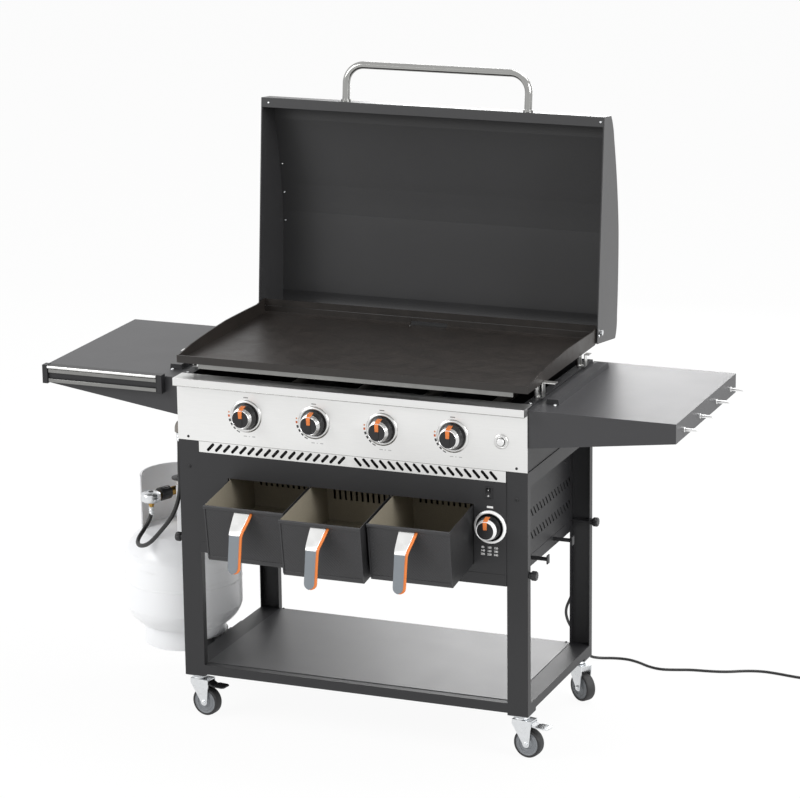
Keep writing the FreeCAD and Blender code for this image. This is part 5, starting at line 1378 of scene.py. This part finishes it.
    def panel(self) -> None:
        """Front sheet, the slotted strip tucked behind its lower edge, the stepped lip, and two
        darker strips that paint the shadow lines under the lip and at the sheet's lower edge.
        """
        edge, low, high = self.half_width, self.front_low, self.front_high
        front = [[(-edge, low), (edge, low), (edge, high), (-edge, high)]]
        holes = [(across, self.level, 6.0) for across in self.places]
        holes.append((*self.igniter, 12.0))
        for across, up, radius in holes:
            front.append([(across + radius * math.cos(angle), up + radius * math.sin(angle))
                          for angle in around(32)])
        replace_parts(self.sheet("panel_front_sheet", front, -1.45, 0.55), "control_panel")
        strip = [[(-409, 710), (409, 710), (409, 744), (-409, 744)]]
        strip += [self.slot(lean, place) for lean in (-1, 1) for place in range(self.slot_count)]
        self.sheet("panel_slotted_strip", strip, -0.45, 0.45)
        shape = Shape()
        lip = [(-26.5, high - 2), (-26.5, high + 18), (30, high + 18), (30, high + 16),
               (-24.5, high + 16), (-24.5, high), (-0.4, high), (-0.4, high - 2)]
        shape.slab(Axis.X, lip, -edge, edge, Finishes.PANEL_STEEL)
        shape.twins((edge - 2.2, -24.6, high - 0.1), (edge - 0.2, -0.4, high + 16.1),
                    Finishes.PANEL_STEEL)
        # Darker steel strip along the lip's lower front edge: painted shadow under the lip
        shape.block((0.2 - edge, -26.9, high - 2), (edge - 0.2, -26.4, high - 0.2),
                    Finishes.HANDLE_STEEL)
        # Darker steel bar where the front sheet meets the slotted strip: painted shadow line of the
        # step
        shape.block((-408.6, -1.06, 738.0), (408.6, -0.8, 739.5), Finishes.BAR_STEEL)
        shape.publish("panel_lip", "root", ease_mm=0.5)

    def build(self) -> None:
        """Panel, bezels, marks, igniter and the five knobs."""
        self.panel()
        self.bezels()
        self.button()
        self.marks()
        self.fryer_marks()
        self.numerals()
        for index, across in enumerate(self.places, 1):
            Knob(f"knob_dress_{index}", f"knob_{index}", f"burner_knob_{index}", across,
                 self.level).build()
        Knob("fryer_knob_dress", "fryer_knob", "fryer_knob", *self.fryer,
             ring=Finishes.WHITE_BEZEL).build()


@dataclass
class Drawer:
    """One frying drawer: pressed front, rolled rim and a three-layer handle."""

    word: str
    centre: float
    pull: float
    half: float = 106.5
    height: float = 148.0
    level: float = 646.0
    slope: float = 8.0
    pattern_mm: float = 8.0
    pattern_rise: float = 1.2
    cell_mm: float = 2.0
    border: float = 6.0
    fade: float = 3.0
    skin: float = 0.9

    def pose(self) -> Matrix:
        """The drawer's own frame: level with its rim, with Y into the drawer."""
        return (Matrix.Translation((0, 0, self.level))
                @ Matrix.Rotation(math.radians(self.slope), 4, "X")
                @ Matrix.Translation((0, -self.pull, 0)))

    def dimple(self, across: float, up: float) -> float:
        """Height of the pressed diamond pattern at a spot of the front."""
        wave = math.cos(math.tau * across / self.pattern_mm)
        wave *= math.cos(math.tau * up / self.pattern_mm)
        return self.pattern_rise * wave

    def front(self) -> None:
        """Front skin with the pressed pattern inside a plain border, and a rolled rim."""
        shape = Shape(self.pose())
        wide, tall, high = 2 * self.half - 1, self.height - 6, -5
        columns = round(wide / self.cell_mm)
        rows = round(tall / self.cell_mm)
        on_edge = 1e-6
        grid = []
        for row in range(rows + 1):
            up = high - tall * row / rows
            line = []
            for column in range(columns + 1):
                across = -wide / 2 + wide * column / columns
                edge = min(wide / 2 - abs(across), high - up, up - high + tall)
                share = min(1.0, max(0.0, (edge - self.border) / self.fade))
                out = self.skin + share * self.dimple(across, up)
                if edge < on_edge:
                    out = 0.0
                line.append(Vector((self.centre + across, -out, up)))
            grid.append(line)
        shape.rings(grid, Finishes.DRAWER_COAT, closed=False, capped=False)
        rim = [(0.4, -8), (-3.4, -8), (-5.0, -6.6), (-5.0, -1.0), (-3.8, 0.4), (0.6, 0.6),
               (1.6, 0.2), (1.6, -1)]
        shape.slab(Axis.X, rim, self.centre - self.half - 0.8, self.centre + self.half + 0.8,
                   Finishes.DRAWER_COAT)
        shape.twins((self.half - 3.6, -2.8, -self.height + 5), (self.half + 0.2, -0.4, -5),
                    Finishes.DRAWER_COAT, self.centre)
        hem = [(-0.2, -135.4), (-2.0, -136.0), (-2.4, -137.4), (-2.0, -138.8), (-0.2, -139.4)]
        shape.slab(Axis.X, hem, self.centre - self.half + 3, self.centre + self.half - 3,
                   Finishes.DRAWER_COAT)
        shape.publish(f"drawer_front_{self.word}", f"drawer_{self.word}",
                      ease_mm=0.0, sharp=60)

    def spine(self) -> list[tuple[Vector, float]]:
        """The handle's line in depth and height, with its half width at each station."""
        top, knee, tip = Vector((0, -7)), Vector((-56, -40)), Vector((-87, -136))
        bend_start, bend_end = 0.82, 0.12
        stations = [top.lerp(knee, share) for share in (0.0, 0.3, 0.6, bend_start)]
        for share in (0.25, 0.5, 0.75):
            before = top.lerp(knee, bend_start).lerp(knee, share)
            after = knee.lerp(tip, share * bend_end)
            stations.append(before.lerp(after, share))
        # The last five stations round the tip off
        for share in (bend_end, 0.3, 0.5, 0.7, 0.84, 0.89, 0.93, 0.965, 0.99, 1.0):
            stations.append(knee.lerp(tip, share))
        widths = (24, 22.5, 20.5, 19, 18.3, 17.7, 17.2, 16.8, 16.5, 16.5, 16.5, 16.5, 15.9,
                  14.2, 11.2, 6.5, 3.0)
        return list(zip(stations, widths))

    def layer(self, shape: Shape, stretch: slice, over: float, under: float, grow: float,
              finish: Finish, shift: float = 0.0) -> None:
        """One layer of the handle between two depths from its face.

        Args:
            shape: The shape that takes it.
            stretch: Which stations it covers.
            over: Depth of its outer face.
            under: Depth of its inner face.
            grow: How much wider it is than the handle's outline.
            finish: What it is made of.
            shift: How far its middle stands to the right.
        """
        stations = self.spine()
        least_half = 1.0
        loops = []
        for index in range(*stretch.indices(len(stations))):
            spot, half = stations[index]
            before = stations[max(index - 1, 0)][0]
            after = stations[min(index + 1, len(stations) - 1)][0]
            along = (after - before).normalized()
            inward = Vector((-along.y, along.x))
            wide = max(least_half, half + grow)
            loop = []
            for depth, side in ((over, -1), (over, 1), (under, 1), (under, -1)):
                place = spot + inward * depth
                loop.append(Vector((self.centre + shift + side * wide, place.x, place.y)))
            loops.append(loop)
        shape.rings(loops, finish)

    def handle(self) -> None:
        """Steel and grey face plates, an orange core and a black back."""
        shape = Shape(self.pose())
        self.layer(shape, slice(0, 7), over=-0.2, under=1.6, grow=-3.0,
                   finish=Finishes.BLADE_STEEL, shift=-2.8)
        self.layer(shape, slice(6, None), over=0.1, under=1.6, grow=-3.0,
                   finish=Finishes.GREY_GRIP, shift=-2.8)
        self.layer(shape, slice(0, None), over=1.2, under=5.4, grow=0.0, finish=Finishes.ORANGE)
        self.layer(shape, slice(0, None), over=5.4, under=7.0, grow=-0.3,
                   finish=Finishes.BLACK_PLASTIC)
        shape.publish(f"drawer_grip_{self.word}", f"drawer_{self.word}",
                      [f"drawer_{self.word}_handle"], ease_mm=0.5)

    def build(self) -> None:
        """Front, handle and the coats of the pan and its tray."""
        self.front()
        self.handle()
        pan = NonStickCoat(f"nonstick_coat_{self.word}", "#8c8576", 0.45,
                           middle=(self.centre, 150 - self.pull, 590.0))
        coat(pan, f"drawer_{self.word}_pan")
        if self.word != "right":
            coat(pan, f"drawer_{self.word}_tray")


@dataclass
class AirFryer:
    """Casing, front plate, cavity and the three drawers."""

    switch: Point = (365.0, 680.0)

    def rocker(self) -> None:
        """Rocker with its two pressed dimples and plain marks."""
        shape = Shape(Matrix.Translation((self.switch[0], 0, self.switch[1])))
        outline = [(-5, -11.6), (-3.6, -5.4), (-2.8, 0), (-3.6, 5.4), (-5, 11.6), (-1, 11.6),
                   (7, 4), (7, -4), (-1, -11.6)]
        shape.slab(Axis.X, outline, -7, 7, Finishes.KNOB_PLASTIC)
        shape.turned(Axis.X, (3, 0), [(0, -9.5), (1.5, -9.5), (1.5, 9.5), (0, 9.5)],
                     Finishes.KNOB_PLASTIC, 16)
        shape.block((-0.6, -4.75, 5.2), (0.6, -4.0, 9.2), Finishes.WHITE_INK)
        shape.turned(Axis.Y, (0, -7.2), [(1.0, -3.6), (1.0, -4.5), (2.1, -4.5), (2.1, -3.6)],
                     Finishes.WHITE_INK, 20)
        shape.publish("power_rocker", "rocker", ["rocker_switch"],
                      ease_mm=0.3)

    def screws(self) -> None:
        """Small screws in the casing's sides and back."""
        shape = Shape()
        radius = 3.2
        for side in (1, -1):
            shape.screws([(side * 411, back, up) for up in (470, 640, 695)
                          for back in (30, 440)], (side, 0, 0), radius,
                         Finishes.BLACK_PLASTIC)
        shape.screws([(across, 495, up) for across in (-380, -190, 0, 190)
                      for up in (470, 690)], (0, 1, 0), radius, Finishes.BLACK_PLASTIC)
        shape.publish("casing_screws", "root", ease_mm=0.0)

    def band(self) -> None:
        """The casing's foot band, a second sheet that shows as a seam."""
        shape = Shape()
        shape.block((-410, -2.8, 446.2), (410, -1.9, 475), Finishes.CART_COAT)
        shape.twins((410.8, 56, 446.2), (411.8, 438, 475), Finishes.CART_COAT)
        shape.publish("casing_foot_band", "root", ease_mm=0.3)

    def build(self) -> None:
        """Casing, switch and drawers."""
        coat(Finishes.CART_COAT, "fryer_housing", "fryer_fascia")
        coat(Finishes.LINER, "fryer_liner", "fan_wheel")
        self.rocker()
        self.screws()
        self.band()
        for word, centre, pull in (("left", -219.0, 160.0), ("middle", -1.0, 195.0),
                                   ("right", 218.0, 165.0)):
            Drawer(word, centre, pull).build()


@dataclass
class HandScrews:
    """Four fluted hand screws that hold the casing to the legs."""

    level: float = 477.0
    depths: tuple[float, ...] = (11.0, 482.0)
    flutes: int = 10
    flute_depth: float = 1.5

    def rim(self, radius: float, angle: float) -> float:
        """Radius of the fluted head at an angle."""
        return radius - self.flute_depth * abs(math.sin(self.flutes * angle / 2)) ** 3

    def build(self) -> None:
        """The four screws as one piece."""
        shape = Shape()
        stem = ((0, 404), (3, 404), (3, 465), (8, 465), (8, 471))
        head = ((10.8, 471), (12.0, 473), (12.0, 482.6), (10.32, 485.2))
        for side in (-1, 1):
            for back in self.depths:
                middle = (back, self.level)
                shape.turned(Axis.X, middle, sided(stem, side), Finishes.BLACK_PLASTIC, 24)
                shape.fluted(Axis.X, middle, sided(head, side), self.flutes * 6, self.rim,
                             Finishes.BLACK_PLASTIC)
        shape.publish("casing_hand_screws", "root", ["thumb_knobs"],
                      ease_mm=0.3)


@dataclass
class Tables:
    """Side tables with their screws, the tool strip's bars and the four tool pegs."""

    tops: tuple[tuple[int, float], ...] = ((1, 895.0), (-1, 898.0))
    screw_depths: tuple[float, ...] = (69.0, 438.0)

    def screws(self) -> None:
        """Round heads on the tables' inner strips, and small ones on the burner box."""
        shape = Shape()
        for side, top in self.tops:
            shape.screws([(side * 510, back, top) for back in self.screw_depths], (0, 0, 1),
                         4.6, Finishes.ZINC)
            shape.screw((side * 455.8, 45, 901), (0, 0, 1), 3.4, Finishes.ZINC)
        shape.publish("table_screws", "root", ease_mm=0.0)

    def bars(self) -> None:
        """Bright steel faces of the tool strip, and the bright rim above it."""
        shape = Shape()
        for low in (860, 885):
            shape.block((-816, -20.5, low + 0.4), (-514, -17, low + 9.6), Finishes.BAR_STEEL)
        # The table's rolled rim, a half round that stands out to the front
        bulge, half, steps = 2.6, 3.4, 10
        bead = [(-23.2 - bulge * math.sin(math.pi * step / steps),
                 900.4 + half * math.cos(math.pi * step / steps)) for step in range(steps + 1)]
        shape.slab(Axis.X, bead + [(-21.4, 897.6), (-21.4, 903.2)], -817, -513, Finishes.RIM)
        shape.publish("tool_strip_bars", "root", ease_mm=0.6)

    def build(self) -> None:
        """Coats, screws and bars."""
        coat(Finishes.TABLE_COAT, "shelf_left", "shelf_right")
        coat(Finishes.BLACK_PLASTIC, "tool_strip")
        coat(Finishes.CHROME, "tool_hooks")
        self.screws()
        self.bars()


class Griddle:
    """Cooking plate with its stiffener bar."""

    def bar(self) -> None:
        """Bright bar under the plate's front edge."""
        shape = Shape()
        shape.block((-410.2, 9.6, 922.7), (424.2, 14.3, 935.9), Finishes.BAR_STEEL)
        shape.publish("stiffener_face", "griddle", ease_mm=0.5)

    def cove(self) -> None:
        """The coved run of the floor up to the rear wall, and its fall to the drain's spout."""
        shape = Shape()
        rise = [(516, 940.6), (525, 940.7), (538.4, 944.8), (538.4, 946.4), (536.9, 947.6),
                (530, 944.0), (524, 942.0), (516, 941.06)]
        shape.slab(Axis.X, rise, -462.2, -47, Finishes.GRIDDLE)
        shape.slab(Axis.X, rise, 54, 462.2, Finishes.GRIDDLE)
        shape.slab(Axis.X, [(520, 939.4), (539.4, 938.6), (539.4, 940.1), (520, 941.04)],
                   -47, 54, Finishes.GRIDDLE)
        shape.publish("griddle_rear_cove", "griddle", ease_mm=0.0)

    def build(self) -> None:
        """The seasoned plate, its rear cove and its bar."""
        coat(Finishes.GRIDDLE, "griddle_plate")
        self.cove()
        self.bar()


@dataclass
class Hood:
    """Curved hood with its end caps, screws and tubular handle."""

    lean: float = 5.75
    foot: Point = (0.0, 507.0, 974.0)

    def pose(self) -> Matrix:
        """The hood's own frame: back from its opening and up from its foot."""
        return (Matrix.Translation(self.foot)
                @ Matrix.Rotation(math.radians(-self.lean), 4, "X"))

    def screws(self) -> None:
        """Screws at the corners of the front lip and rivets down the end caps."""
        shape = Shape(self.pose())
        shape.screws([(across, 2, 528) for across in (-449, 460)], (0, -1, 0), 2.8,
                     Finishes.ZINC)
        # Depth and height on the back sheet's inner face, and how far it leans there
        for back, up, lean in ((153.7, 205, -0.10), (142.7, 281, -0.18), (124.3, 358, -0.25)):
            shape.screws([(across, back, up) for across in (-460, 460)], (0, -1, lean), 2.6,
                         Finishes.ZINC)
        for side in (-470, 470):
            shape.screw((side, 20.7, -15.4), (side, 0, 0), 3.4, Finishes.ZINC)
        shape.publish("hood_screws", "hood", ease_mm=0.0)

    def build(self) -> None:
        """Coats and screws."""
        coat(Finishes.HOOD_COAT, "hood_shell", "hood_end_left", "hood_end_right")
        coat(Finishes.HANDLE_STEEL, "hood_handle")
        self.screws()


def main() -> None:
    """Build everything in order and log each step as it is done."""
    logging.basicConfig(level=logging.INFO, format="%(name)s: %(message)s")
    steps: list[tuple[str, Callable[[], None]]] = [
        ("studio", Studio().build), ("mains lead", MainsLead().build),
        ("gas supply", GasSupply().build), ("cart", Cart().build),
        ("casters", Casters().build), ("control panel", ControlPanel().build),
        ("air fryer", AirFryer().build), ("hand screws", HandScrews().build),
        ("tables", Tables().build), ("griddle", Griddle().build), ("hood", Hood().build)]
    for name, build in steps:
        build()
        log.info("%s done", name)


if __name__ == "__main__":
    main()
